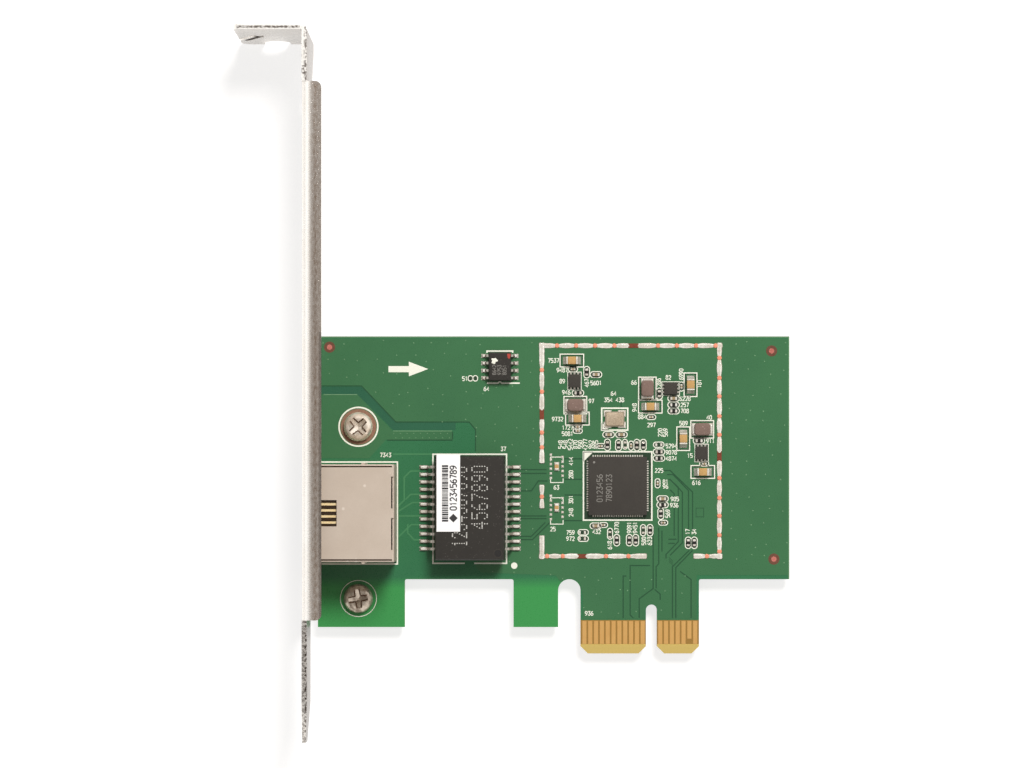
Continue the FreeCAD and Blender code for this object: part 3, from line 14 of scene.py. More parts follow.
import bmesh
import bpy
import numpy as np
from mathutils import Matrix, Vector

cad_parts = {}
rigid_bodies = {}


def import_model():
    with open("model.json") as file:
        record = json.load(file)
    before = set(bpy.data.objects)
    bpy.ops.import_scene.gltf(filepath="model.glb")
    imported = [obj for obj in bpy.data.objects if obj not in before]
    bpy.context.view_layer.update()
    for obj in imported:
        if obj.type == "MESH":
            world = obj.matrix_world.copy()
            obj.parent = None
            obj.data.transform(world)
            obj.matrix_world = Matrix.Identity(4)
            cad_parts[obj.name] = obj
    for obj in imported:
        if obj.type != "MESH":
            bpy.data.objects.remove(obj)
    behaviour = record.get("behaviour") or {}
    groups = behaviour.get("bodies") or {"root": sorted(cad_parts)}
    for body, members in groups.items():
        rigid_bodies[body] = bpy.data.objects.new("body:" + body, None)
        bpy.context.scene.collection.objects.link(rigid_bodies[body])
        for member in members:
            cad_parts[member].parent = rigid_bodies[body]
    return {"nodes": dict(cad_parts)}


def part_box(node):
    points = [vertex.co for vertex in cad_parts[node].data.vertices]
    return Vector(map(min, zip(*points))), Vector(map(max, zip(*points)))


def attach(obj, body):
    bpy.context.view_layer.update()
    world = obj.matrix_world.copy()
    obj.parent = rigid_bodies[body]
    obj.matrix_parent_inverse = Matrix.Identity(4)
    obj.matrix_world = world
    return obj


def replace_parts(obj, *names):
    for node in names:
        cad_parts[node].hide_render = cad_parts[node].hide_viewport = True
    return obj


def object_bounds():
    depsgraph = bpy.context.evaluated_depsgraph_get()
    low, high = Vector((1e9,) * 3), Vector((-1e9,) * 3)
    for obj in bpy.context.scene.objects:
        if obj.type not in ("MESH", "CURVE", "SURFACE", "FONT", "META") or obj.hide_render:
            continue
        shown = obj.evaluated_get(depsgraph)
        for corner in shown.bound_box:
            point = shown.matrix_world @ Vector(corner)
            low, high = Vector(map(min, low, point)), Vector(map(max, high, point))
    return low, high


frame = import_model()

LOG = logging.getLogger("network_card")
MM = 0.001
BODY = "root"
CAD_BOX = [[float(value) for value in corner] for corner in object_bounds()]

Point = tuple[float, float]
Place = tuple[float, float, float]
Margins = tuple[float, float, float, float]
Colour = tuple[int, int, int]
Box = np.ndarray
Socket = bpy.types.NodeSocket
Value = Socket | float


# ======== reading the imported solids
def box_mm(node: str) -> Box:
    """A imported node's box, as its lowest corner and its highest."""
    return np.array([list(corner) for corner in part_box(node)]) / MM


def solid_boxes(node: str) -> np.ndarray:
    """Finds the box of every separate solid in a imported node.

    Corners at the same place count as one, and each takes the lowest number found among those it is
    joined to, again and again until nothing changes, so that every solid ends with one number.

    Args:
        node: The node's name.

    Returns:
        An n by 2 by 3 array of lowest and highest corners.
    """
    mesh = frame["nodes"][node].data
    corners = np.zeros(len(mesh.vertices) * 3)
    mesh.vertices.foreach_get("co", corners)
    ends = np.zeros(len(mesh.edges) * 2, int)
    mesh.edges.foreach_get("vertices", ends)
    rounded_off = np.round(corners.reshape(-1, 3) / MM, 3)
    places, same = np.unique(rounded_off, axis=0, return_inverse=True)
    edges = same.reshape(-1)[ends].reshape(-1, 2)
    labels, lowest = None, np.arange(len(places))
    while not np.array_equal(lowest, labels):
        labels = lowest
        lowest = labels.copy()
        shared = labels[edges].min(axis=1)
        for end in edges.T:
            np.minimum.at(lowest, end, shared)
    groups = [places[labels == label] for label in np.unique(labels)]
    return np.array([[group.min(axis=0), group.max(axis=0)] for group in groups])


def whole_boxes(bodies: str, ends: str) -> list[Box]:
    """Finds the box of each small two-ended part, its end caps included.

    Args:
        bodies: The node that holds the parts' bodies.
        ends: The node that holds their end caps.

    Returns:
        One box for each part.
    """
    caps = solid_boxes(ends)
    middles = caps.mean(axis=1)
    wholes = []
    for low, high in solid_boxes(bodies):
        near = np.argsort(np.linalg.norm(middles - (low + high) / 2, axis=1))[:2]
        wholes.append(np.array([
            np.minimum(low, caps[near, 0].min(axis=0)), np.maximum(high, caps[near, 1].max(axis=0))]))
    return wholes


def middle_of(box: Box) -> np.ndarray:
    """The middle of a box, seen from above."""
    return (box[0] + box[1])[:2] / 2


def size_of(box: Box) -> np.ndarray:
    """A box's size along x and y."""
    return (box[1] - box[0])[:2]


def nodes_like(start: str, end: str = "") -> list[str]:
    """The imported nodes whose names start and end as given."""
    return sorted(name for name in frame["nodes"] if name.startswith(start) and name.endswith(end))


FRONT = box_mm("circuit_board")[1, 2]


# ======== node trees
def linear(colour: Colour) -> tuple[float, float, float, float]:
    """The colour as a shader takes it, by the standard display curve."""
    parts = [part / 255 for part in colour]
    return tuple(p / 12.92 if p <= 0.04045 else ((p + 0.055) / 1.055) ** 2.4 for p in parts) + (1.0,)


class Graph:
    """Short calls that add nodes to one node tree and join them."""

    def __init__(self, tree: bpy.types.NodeTree) -> None:
        """Keeps the tree."""
        self.tree = tree

    def feed(self, socket: Socket, value: object) -> None:
        """Joins a socket to another, or gives it a plain value.

        Args:
            socket: The input to feed.
            value: Another node's output, or a value.
        """
        if isinstance(value, Socket):
            self.tree.links.new(value, socket)
        else:
            socket.default_value = value

    def add(self, kind: str, inputs: dict | None = None, **settings: object) -> bpy.types.Node:
        """Adds a node.

        Args:
            kind: The node's type, without "ShaderNode".
            inputs: A value or a socket for each input, by its name or number.
            settings: The node's own properties.

        Returns:
            The new node.
        """
        node = self.tree.nodes.new("ShaderNode" + kind)
        for name, value in settings.items():
            setattr(node, name, value)
        for name, value in (inputs or {}).items():
            self.feed(node.inputs[name], value)
        return node

    def math(self, operation: str, first: Value, second: Value = 0.0) -> Socket:
        """One step of arithmetic on two values."""
        return self.add("Math", {0: first, 1: second}, operation=operation).outputs[0]

    def times(self, first: Value, second: Value) -> Socket:
        """The product of two values."""
        return self.math("MULTIPLY", first, second)

    def most(self, first: Value, second: Value) -> Socket:
        """The greater of two values."""
        return self.math("MAXIMUM", first, second)

    def above(self, value: Value, limit: float) -> Socket:
        """One where a value is above a limit, and nought elsewhere."""
        return self.math("GREATER_THAN", value, limit)

    def below(self, value: Value, limit: Value) -> Socket:
        """One where a value is below a limit, and nought elsewhere."""
        return self.math("LESS_THAN", value, limit)

    def between(self, value: Value, limits: Point) -> Socket:
        """One where a value lies between two limits, and nought elsewhere."""
        return self.times(self.above(value, limits[0]), self.below(value, limits[1]))

    def spread(self, value: Value, source: Point, target: Point = (0.0, 1.0)) -> Socket:
        """Maps a value from one range to another, and holds it inside the second."""
        limits = {0: value, 1: source[0], 2: source[1], 3: target[0], 4: target[1]}
        return self.add("MapRange", limits).outputs[0]

    def mix(self, share: Value, first: object, second: object) -> Socket:
        """A colour between two others."""
        return self.add("Mix", {0: share, 6: first, 7: second}, data_type="RGBA").outputs[2]

    def split(self, vector: Socket) -> Sequence[Socket]:
        """The three parts of a vector."""
        return self.add("SeparateXYZ", {0: vector}).outputs


class Effect(Enum):
    """Surface effects that several finishes share, each one node group."""

    CLOUD = "Cloud"
    SPECK = "Speck"
    STREAK = "Streak"
    WEAVE = "Weave"

    def group(self) -> bpy.types.NodeTree:
        """Makes the group the first time, and finds it after that.

        Returns:
            The effect's node group.
        """
        found = bpy.data.node_groups.get(self.value)
        if found:
            return found
        tree = bpy.data.node_groups.new(self.value, "ShaderNodeTree")
        for name, kind in (("Place", "Vector"), ("Scale", "Float"), ("Amount", "Float")):
            tree.interface.new_socket(name, in_out="INPUT", socket_type="NodeSocket" + kind)
        tree.interface.new_socket("Value", in_out="OUTPUT", socket_type="NodeSocketFloat")
        makers = {Effect.CLOUD: self._cloud, Effect.SPECK: self._speck,
                  Effect.STREAK: self._streak, Effect.WEAVE: self._weave}
        graph = Graph(tree)
        value = makers[self](graph, tree.nodes.new("NodeGroupInput").outputs)
        graph.feed(tree.nodes.new("NodeGroupOutput").inputs["Value"], value)
        return tree

    @staticmethod
    def _noise(graph: Graph, entry: object, place: Socket, detail: float, roughness: float) -> Socket:
        """Noise round one half, with its contrast raised by the amount.

        Args:
            graph: The group's nodes.
            entry: The group's own inputs.
            place: Where the noise is read.
            detail: How many finer layers it has.
            roughness: How strong each finer layer is.

        Returns:
            The noise, from nought to one.
        """
        inputs = {"Vector": place, "Scale": entry["Scale"], "Detail": detail, "Roughness": roughness}
        noise = graph.add("TexNoise", inputs).outputs["Fac"]
        centred = graph.times(graph.math("SUBTRACT", noise, 0.5), entry["Amount"])
        return graph.spread(graph.math("ADD", centred, 0.5), (0.0, 1.0))

    @classmethod
    def _cloud(cls, graph: Graph, entry: object) -> Socket:
        """Soft noise, the same every way."""
        return cls._noise(graph, entry, entry["Place"], detail=4.0, roughness=0.6)

    @classmethod
    def _streak(cls, graph: Graph, entry: object) -> Socket:
        """Noise drawn out nearly three times along y, as rolled sheet has it."""
        drawn = graph.add("VectorMath", {0: entry["Place"], 1: (1.0, 0.35, 1.0)}, operation="MULTIPLY")
        return cls._noise(graph, entry, drawn.outputs[0], detail=5.0, roughness=0.65)

    @staticmethod
    def _speck(graph: Graph, entry: object) -> Socket:
        """Round specks in a share of the cells of a cell pattern.

        Args:
            graph: The group's nodes.
            entry: The group's own inputs.

        Returns:
            One in the middle of a speck, and nought between specks.
        """
        cells = graph.add("TexVoronoi", {"Vector": entry["Place"], "Scale": entry["Scale"]})
        chance = graph.add("SeparateColor", {0: cells.outputs["Color"]}).outputs[0]
        chosen = graph.below(chance, entry["Amount"])
        return graph.times(chosen, graph.spread(cells.outputs["Distance"], (0.45, 0.25)))

    @staticmethod
    def _weave(graph: Graph, entry: object) -> Socket:
        """Glass cloth under the resin: the product of two crossed waves, times the amount.

        Args:
            graph: The group's nodes.
            entry: The group's own inputs.

        Returns:
            The height of the cloth.
        """
        settings = {"Vector": entry["Place"], "Scale": entry["Scale"], "Distortion": 0.6}
        waves = [graph.add("TexWave", settings, bands_direction=way).outputs["Fac"] for way in "XY"]
        return graph.times(graph.times(*waves), entry["Amount"])


class Skin(Graph):
    """One material's nodes, with the point being shaded, in millimetres, and the grain's value there."""

    def __init__(self, tree: bpy.types.NodeTree, scale: float, contrast: float) -> None:
        """Keeps the tree, and adds the point and the grain.

        Args:
            tree: The material's tree.
            scale: The grain's cells per millimetre.
            contrast: The grain's contrast.
        """
        super().__init__(tree)
        point = self.add("TexCoord").outputs["Object"]
        self.point = self.add("VectorMath", {0: point, "Scale": 1 / MM}, operation="SCALE").outputs[0]
        self.grain = self.effect(Effect.CLOUD, scale, contrast)

    def effect(self, effect: Effect, scale: float, amount: float) -> Socket:
        """Adds a shared effect with its own scale and amount."""
        inputs = {"Place": self.point, "Scale": scale, "Amount": amount}
        return self.add("Group", inputs, node_tree=effect.group()).outputs["Value"]

    def rise(self) -> Socket:
        """How far the shaded face looks up: one when it lies level, and nought when it is upright."""
        return self.split(self.add("NewGeometry").outputs["Normal"])[2]


# ======== finishes
@dataclass(frozen=True)
class Finish:
    """A surface whose colour drifts in broad patches and varies in a fine grain.

    The patch and grain colours are mixed into the base colour by up to their shares.  Scales are cells
    per millimetre, and the relief is the height of the grain.
    """

    name: str
    colour: Colour
    patch: Colour
    grain: Colour
    patch_scale: float = 0.12
    patch_share: float = 0.5
    patch_contrast: float = 4.0
    grain_scale: float = 6.0
    grain_share: float = 0.5
    grain_contrast: float = 3.0
    roughness: float = 0.5
    roughness_spread: float = 0.12
    metallic: float = 0.0
    specular: float = 0.5
    relief: float = 0.004
    speck: Colour = (255, 255, 255)
    speck_scale: float = 3.0
    speck_share: float = 0.0

    def material(self) -> bpy.types.Material:
        """Makes the material the first time, and finds it after that.

        Returns:
            The finish's material.
        """
        found = bpy.data.materials.get(self.name)
        if found:
            return found
        made = bpy.data.materials.new(self.name)
        made.use_nodes = True
        skin = Skin(made.node_tree, self.grain_scale, self.grain_contrast)
        inputs = made.node_tree.nodes["Principled BSDF"].inputs
        skin.feed(inputs["Base Color"], self.tint(skin))
        rough = (self.roughness - self.roughness_spread, self.roughness + self.roughness_spread)
        skin.feed(inputs["Roughness"], skin.spread(skin.grain, (0.0, 1.0), rough))
        bump = {"Height": self.height(skin), "Distance": self.relief * MM}
        skin.feed(inputs["Normal"], skin.add("Bump", bump).outputs[0])
        skin.feed(inputs["Metallic"], self.metal(skin))
        skin.feed(inputs["Specular IOR Level"], self.specular)
        return made

    def tint(self, skin: Skin) -> Socket:
        """Mixes the surface's colour.

        Args:
            skin: The material's nodes.

        Returns:
            The colour's socket.
        """
        cloud = skin.effect(Effect.CLOUD, self.patch_scale, self.patch_contrast)
        patched = skin.times(cloud, self.patch_share)
        colour = skin.mix(patched, linear(self.colour), linear(self.patch))
        colour = skin.mix(skin.times(skin.grain, self.grain_share), colour, linear(self.grain))
        if self.speck_share:
            speck = skin.effect(Effect.SPECK, self.speck_scale, self.speck_share)
            colour = skin.mix(speck, colour, linear(self.speck))
        return colour

    def height(self, skin: Skin) -> Socket:
        """The relief's height, which is the grain's value here."""
        return skin.grain

    def metal(self, skin: Skin) -> Value:
        """How metallic the surface is, which is the same all over here."""
        return self.metallic


@dataclass(frozen=True)
class SheetFinish(Finish):
    """Rolled, plated and sheared sheet, with painted reflections and shade, and dark spots in its cut edges.

    A pair of numbers is a range along the card's x or y in which a share grows or fades, or the two
    shares that it goes between.
    """

    level_above: float = 0.8
    upright_below: Point = (0.1, 0.3)
    streak_scale: float = 3.4
    streak_contrast: float = 4.0
    # Painted dark reflection of the space overhead, streaked along the rolling on the flange's level face.
    worn: Colour = (140, 113, 90)
    worn_shares: Point = (0.525, 0.9375)
    worn_half: Point = (0.0, 0.45)
    worn_start: Point = (-57.85, -57.45)
    worn_end: Point = (-57.4, -56.8)
    rubbed: Point = (-56.6, -56.3)
    rubbed_share: float = 0.82
    # Painted reflection of the dark board along the flange's rim where it lies over the board.
    rim: Point = (-56.25, -55.9)
    rim_share: float = 0.5
    board_top: float = 54.4
    bright: Point = (-58.12, -57.3)
    bright_metallic: float = 0.1
    bend_start: float = -58.4
    # Painted shade on the upright faces, strongest below the flange and on the neck.
    shaded: Colour = (134, 125, 118)
    shaded_shares: Point = (0.95, 0.3)
    neck_shaded: float = 0.85
    # Dark spots in the cut edges: partly the shear's break, partly painted dark reflections; the rim's
    # painted reflection of the board uses this colour too.
    torn: Colour = (72, 58, 48)
    torn_scale: float = 2.2
    torn_contrast: float = 6.0
    torn_range: Point = (0.28, 0.66)
    torn_least: float = 0.15
    torn_shares: Point = (0.95, 0.9)
    strewn_shares: Point = (0.6, 0.1)
    line_shares: Point = (1.0, 0.95)
    tongue_line: Point = (-58.75, -58.35)
    tab_line: Point = (104.98, 105.1)
    tab_line_end: Point = (105.4, 105.52)
    tab_line_least: float = 0.5
    tab_start: float = -59.2
    flange: Point = (6.3, 96.2)
    dent: Point = (97.4, 98.8)

    def tint(self, skin: Skin) -> Socket:
        """Lays the painted reflections, the painted shade and the dark edge spots over the plating, each
        where it belongs.
        """
        colour = self.wear(skin, super().tint(skin))
        return self.tear(skin, self.shade(skin, colour))

    def wear(self, skin: Skin, colour: Socket) -> Socket:
        """Paints dark reflections in streaks on the flange's level face, and a painted reflection of the dark
        board on its rim.

        Args:
            skin: The material's nodes.
            colour: The colour so far.

        Returns:
            The colour with the painted reflections on it.
        """
        x, y, _ = skin.split(skin.point)
        drawn = skin.effect(Effect.STREAK, self.streak_scale, self.streak_contrast)
        share = skin.spread(drawn, (0.0, 1.0), self.worn_shares)
        start, end = [skin.spread(x, edge, self.worn_half) for edge in (self.worn_start, self.worn_end)]
        rubbed = skin.spread(x, self.rubbed, (1.0, self.rubbed_share))
        flat = skin.times(skin.math("ADD", start, end), rubbed)
        worn = skin.times(skin.times(share, flat), skin.above(skin.rise(), self.level_above))
        colour = skin.mix(worn, colour, linear(self.worn))
        # Painted reflection of the dark board, on the flange's rim where it lies over the board.
        rim = skin.times(skin.below(y, self.board_top), skin.spread(x, self.rim, (0.0, self.rim_share)))
        return skin.mix(rim, colour, linear(self.torn))

    def shade(self, skin: Skin, colour: Socket) -> Socket:
        """Paints shade on the upright faces, most of all below the flange and on the neck.

        Args:
            skin: The material's nodes.
            colour: The colour so far.

        Returns:
            The colour with the upright faces in painted shade.
        """
        x, y, _ = skin.split(skin.point)
        neck = skin.spread(y, self.flange, (0.0, self.neck_shaded))
        neck = skin.times(skin.above(x, self.tab_start), neck)
        share = skin.most(neck, skin.spread(y, self.flange, self.shaded_shares))
        upright = skin.spread(skin.math("ABSOLUTE", skin.rise()), self.upright_below, (1.0, 0.0))
        return skin.mix(skin.times(upright, share), colour, linear(self.shaded))

    def tear(self, skin: Skin, colour: Socket) -> Socket:
        """Lays dark spots in the sheared edges, above and below the flange: the shear's break, with painted
        dark reflections.

        The spots lie along a line within each edge, and fill the dent in the neck's edge.

        Args:
            skin: The material's nodes.
            colour: The colour so far.

        Returns:
            The colour with the dark spots.
        """
        x, y, _ = skin.split(skin.point)
        plate = skin.above(x, self.tab_start)
        line = skin.times(skin.spread(x, self.tongue_line), plate)
        line = skin.times(line, skin.spread(y, self.flange, self.line_shares))
        line = skin.most(line, skin.times(skin.between(y, self.dent), plate))
        folded = skin.times(skin.spread(y, self.tab_line), skin.math("SUBTRACT", 1.0, plate))
        folded = skin.times(folded, skin.spread(y, self.tab_line_end, (1.0, 0.0)))
        share = skin.times(skin.most(line, folded), skin.spread(y, self.flange, self.torn_shares))
        share = skin.most(skin.spread(y, self.flange, self.strewn_shares), share)
        cloud = skin.effect(Effect.CLOUD, self.torn_scale, self.torn_contrast)
        rough = skin.spread(cloud, self.torn_range, (self.torn_least, 1.0))
        rough = skin.most(rough, skin.times(folded, self.tab_line_least))
        outside = skin.most(skin.above(y, self.flange[1]), skin.below(y, self.flange[0]))
        outside = skin.times(outside, skin.above(skin.rise(), self.level_above))
        return skin.mix(skin.times(outside, skin.times(share, rough)), colour, linear(self.torn))

    def metal(self, skin: Skin) -> Value:
        """Less metallic where the sheet is a dull white: along the flange's bend, and above the flange.

        Args:
            skin: The material's nodes.

        Returns:
            How metallic the sheet is.
        """
        x, y, _ = skin.split(skin.point)
        near = skin.times(skin.above(x, self.bend_start), skin.spread(x, self.bright, (1.0, 0.0)))
        near = skin.most(skin.times(near, skin.between(y, self.flange)), skin.above(y, self.flange[1]))
        near = skin.times(near, skin.above(skin.rise(), self.level_above))
        return skin.spread(near, (0.0, 1.0), (self.metallic, self.bright_metallic))


@dataclass(frozen=True)
class SolderFinish(Finish):
    """Solder and tin, bright where they lie level, with painted shade on the flanks that turn away."""

    steep: Colour = (98, 80, 62)
    steep_share: float = 0.8
    steep_range: Point = (0.9, 0.4)

    def tint(self, skin: Skin) -> Socket:
        """Paints shade on the steep flanks."""
        steep = skin.spread(skin.rise(), self.steep_range, (0.0, self.steep_share))
        return skin.mix(steep, super().tint(skin), linear(self.steep))


@dataclass(frozen=True)
class BoardFinish(Finish):
    """Solder mask on both faces, bare laminate on the cut edges and on the connector tongue."""

    laminate: Colour = (212, 184, 104)
    cloth: Colour = (190, 160, 82)
    cloth_scale: float = 1.3
    cloth_share: float = 0.5
    cloth_height: float = 0.8
    grain_height: float = 0.3
    between: Colour = (138, 98, 44)
    between_share: float = 0.85
    cut_edge: Colour = (150, 168, 104)
    lit: Colour = (61, 147, 76)
    lit_range: Point = (13.2, 11.2)
    lit_share: float = 0.85
    rim: Colour = (112, 140, 104)
    rim_width: float = 0.22
    rim_share: float = 0.6
    tongue_top: float = 5.75
    tongue_left: float = -12.3
    contact_low: float = 1.62
    edge_depth: float = 0.05

    def tint(self, skin: Skin) -> Socket:
        """Lays the laminate's colour over the mask where a face is a side, or lies on the tongue.

        The mask is lighter below the copper, where light comes through the board, and along the top
        and right edges.

        Args:
            skin: The material's nodes.

        Returns:
            The colour's socket.
        """
        across = skin.split(skin.point)
        x, y, z = across
        clear = skin.times(skin.spread(y, self.lit_range), self.lit_share)
        clear = skin.times(clear, skin.below(x, self.tongue_left))
        mask = skin.mix(clear, super().tint(skin), linear(self.lit))
        high = box_mm("circuit_board")[1]
        edges = [skin.above(across[axis], high[axis] - self.rim_width) for axis in (0, 1)]
        mask = skin.mix(skin.times(skin.most(*edges), self.rim_share), mask, linear(self.rim))
        bare = skin.times(skin.below(y, self.tongue_top), skin.above(x, self.tongue_left))
        cloth = skin.effect(Effect.WEAVE, self.cloth_scale, self.cloth_share)
        tongue = skin.mix(cloth, linear(self.laminate), linear(self.cloth))
        among = skin.times(skin.above(y, self.contact_low), self.between_share)
        colour = skin.mix(bare, mask, skin.mix(among, tongue, linear(self.between)))
        inner = skin.below(skin.math("ABSOLUTE", z), FRONT - self.edge_depth)
        side = skin.times(inner, skin.math("SUBTRACT", 1.0, bare))
        return skin.mix(side, colour, linear(self.cut_edge))

    def height(self, skin: Skin) -> Socket:
        """Glass cloth under the mask, with a little of the grain."""
        cloth = skin.effect(Effect.WEAVE, self.cloth_scale, self.cloth_height)
        return skin.math("ADD", cloth, skin.times(skin.grain, self.grain_height))


BARE_MASK = BoardFinish(
    "bare_board_mask", (48, 107, 70), (53, 117, 75), (43, 97, 64), patch_scale=0.07, patch_share=0.5,
    grain_share=0.2, roughness=0.34, relief=0.006)
COPPER_MASK = Finish(
    "copper_board_mask", (57, 104, 68), (65, 114, 74), (52, 96, 63), patch_scale=0.05, patch_share=0.5,
    grain_share=0.2, roughness=0.36, relief=0.003)
CHANNEL_MASK = Finish("channel_mask", (43, 93, 68), (49, 102, 72), (39, 85, 62), roughness=0.36)
TRACK_MASK = Finish("track_mask", (70, 132, 88), (78, 126, 84), (64, 118, 78), roughness=0.34)
# Light mask over vias; also painted highlight on the copper's lit edges.
VIA_AND_HIGHLIGHT_MASK = Finish("via_mask", (112, 150, 112), (96, 138, 100), (130, 160, 124), roughness=0.3)
# Dark mask over gaps in the copper; also painted shade along the copper's edges.
GAP_AND_SHADE_MASK = Finish("gap_mask", (34, 74, 48), (30, 66, 44), (42, 84, 54), roughness=0.4)
DARK_MASK = Finish("dark_mask", (38, 60, 42), (34, 52, 38), (48, 68, 48), roughness=0.4)
LEGEND_INK = Finish(
    "white_legend_ink", (238, 236, 220), (243, 241, 228), (218, 219, 200), grain_share=0.4, roughness=0.6,
    relief=0.006, specular=0.3)
GOLD = Finish(
    "gold_plating", (238, 186, 112), (228, 172, 98), (244, 200, 130), patch_scale=0.4, patch_share=0.4,
    grain_scale=5.0, grain_share=0.15, roughness=0.36, roughness_spread=0.04, metallic=0.5, relief=0.001)
CONTACT_GOLD = Finish(
    "rolled_contact_gold", (255, 226, 168), (246, 206, 136), (255, 240, 206), patch_scale=0.6, roughness=0.3,
    metallic=0.2)
PLATED_SHEET = SheetFinish(
    "bright_plated_sheet", (255, 252, 247), (246, 240, 232), (236, 226, 215), patch_scale=0.2,
    grain_scale=5.0, grain_share=0.3, grain_contrast=4.0, roughness=0.28, roughness_spread=0.05,
    metallic=0.85, relief=0.007, speck=(255, 253, 250), speck_scale=4.0, speck_share=0.08)
# Bright steel with painted dark reflections in cloudy patches, for the upper screw.
SCREW_STEEL_PAINTED_REFLECTIONS = Finish(
    "bright_screw_steel", (255, 246, 232), (186, 158, 130), (206, 182, 156), patch_scale=0.6, patch_share=0.6,
    grain_scale=3.0, grain_share=0.3, roughness=0.18, roughness_spread=0.06, metallic=0.6, relief=0.008)
# Darker steel with painted dark reflections in cloudy patches, for the lower screw.
DARK_SCREW_STEEL_PAINTED_REFLECTIONS = Finish(
    "dulled_screw_steel", (236, 222, 204), (96, 76, 60), (140, 118, 98), patch_scale=0.8, patch_share=0.75,
    grain_scale=3.0, grain_share=0.3, roughness=0.18, roughness_spread=0.06, metallic=0.6, relief=0.008)
RECESS_SHADE = Finish(
    "recess_shade", (116, 90, 70), (94, 70, 54), (138, 110, 88), grain_scale=3.0, roughness=0.4, metallic=0.6)
SHIELD_TIN = Finish(
    "tinned_shield_plate", (211, 195, 179), (201, 184, 167), (194, 178, 162), patch_scale=0.15,
    patch_share=0.7, grain_scale=9.0, grain_share=0.3, roughness=0.5, metallic=0.3, relief=0.003,
    speck=(226, 212, 198), speck_scale=1.4, speck_share=0.02)
SEAM_SHADE = Finish("seam_shade", (48, 33, 22), (40, 28, 20), (58, 42, 30), roughness=0.7, specular=0.2)
HOUSING_PLASTIC = Finish(
    "dark_housing_plastic", (50, 34, 20), (56, 40, 26), (38, 26, 16), roughness=0.55, relief=0.006)
SOLDER = SolderFinish(
    "reflowed_solder", (254, 250, 240), (214, 200, 182), (196, 182, 164), patch_scale=0.6, patch_share=0.6,
    grain_scale=1.3, grain_share=0.3, grain_contrast=5.0, roughness=0.2, metallic=0.4, relief=0.03)
LEAD_TIN = SolderFinish(
    "tinned_lead", (252, 249, 240), (240, 233, 220), (206, 196, 180), patch_scale=1.2, grain_scale=4.0,
    grain_share=0.35, roughness=0.3, metallic=0.8, relief=0.01)
MOULD_COMPOUND = Finish(
    "black_mould_compound", (43, 40, 37), (49, 46, 42), (64, 61, 56), patch_scale=0.2, grain_scale=12.0,
    grain_share=0.3, grain_contrast=6.0, roughness=0.6, relief=0.008, specular=0.35,
    speck=(84, 80, 75), speck_scale=5.0, speck_share=0.06)
CHIP_COMPOUND = Finish(
    "chip_compound", (56, 52, 48), (62, 58, 53), (76, 72, 66), patch_scale=0.4, grain_scale=12.0,
    grain_share=0.3, grain_contrast=6.0, roughness=0.6, relief=0.008, specular=0.35)
LABEL_PAPER = Finish(
    "white_label_paper", (246, 243, 240), (242, 238, 233), (250, 249, 247), patch_scale=0.4, roughness=0.7,
    relief=0.003, specular=0.25)
LABEL_INK = Finish("label_ink", (44, 42, 44), (56, 54, 54), (74, 72, 72), grain_scale=9.0, roughness=0.6)
PACKAGE_INK = Finish(
    "package_ink", (222, 219, 212), (204, 200, 192), (176, 172, 164), grain_scale=9.0, roughness=0.6)
FAINT_INK = Finish(
    "faint_ink", (142, 138, 131), (126, 122, 116), (112, 108, 102), grain_scale=9.0, roughness=0.6)
CRYSTAL_CERAMIC = Finish(
    "grey_crystal_ceramic", (150, 138, 118), (134, 122, 104), (168, 156, 138), roughness=0.55)
CRYSTAL_METAL = Finish(
    "gilt_crystal_lid", (220, 198, 170), (176, 152, 124), (232, 214, 190), patch_scale=0.45,
    patch_share=0.8, roughness=0.36, metallic=0.6, relief=0.004)
FERRITE = Finish(
    "sintered_ferrite", (119, 98, 88), (107, 87, 78), (137, 114, 104), patch_scale=0.6, grain_scale=9.0,
    roughness=0.5, relief=0.01, speck=(172, 148, 140), speck_scale=4.0, speck_share=0.08)
CAPACITOR_CERAMIC = Finish(
    "amber_capacitor_ceramic", (188, 148, 92), (170, 128, 76), (206, 170, 116), patch_scale=0.8,
    grain_scale=6.0, roughness=0.45, relief=0.006)
SMALL_CERAMIC = Finish(
    "brown_capacitor_ceramic", (150, 132, 100), (130, 112, 84), (170, 150, 118), patch_scale=0.9,
    grain_scale=7.0, roughness=0.5)
RESISTOR_FILM = Finish(
    "black_resistor_film", (34, 32, 30), (42, 40, 38), (24, 23, 22), grain_scale=8.0, roughness=0.4)
RAW_COPPER = Finish(
    "pink_via_copper", (240, 146, 114), (226, 120, 90), (250, 184, 152), patch_scale=1.5, grain_scale=5.0,
    roughness=0.4, metallic=0.2, relief=0.01)
DULL_COPPER = Finish(
    "dull_copper", (116, 56, 38), (96, 42, 30), (146, 80, 60), patch_scale=1.5, grain_scale=5.0,
    roughness=0.5, metallic=0.1)
AIMING_COPPER = Finish(
    "aiming_copper", (178, 98, 86), (156, 80, 70), (204, 134, 122), grain_scale=4.0, roughness=0.45)
FLUX_RING = Finish(
    "flux_ring", (136, 104, 84), (126, 84, 68), (156, 124, 102), grain_scale=3.0, roughness=0.45)
OPEN_RING = Finish("open_ring", (100, 62, 48), (84, 56, 42), (116, 80, 62), grain_scale=4.0, roughness=0.5)
DIMPLE_SHADE = Finish("dimple_shade", (34, 32, 31), (30, 28, 27), (44, 42, 40), roughness=0.7)
RED_PAINT = Finish("red_paint", (168, 62, 52), (148, 48, 40), (190, 90, 78), grain_scale=7.0, roughness=0.5)


# ======== building closed surfaces
def circle(x: float, y: float, radius: float, sides: int) -> np.ndarray:
    """Points round a circle, counter-clockwise."""
    turn = np.linspace(0, 2 * math.pi, sides, endpoint=False)
    return np.stack([x + radius * np.cos(turn), y + radius * np.sin(turn)], axis=1)


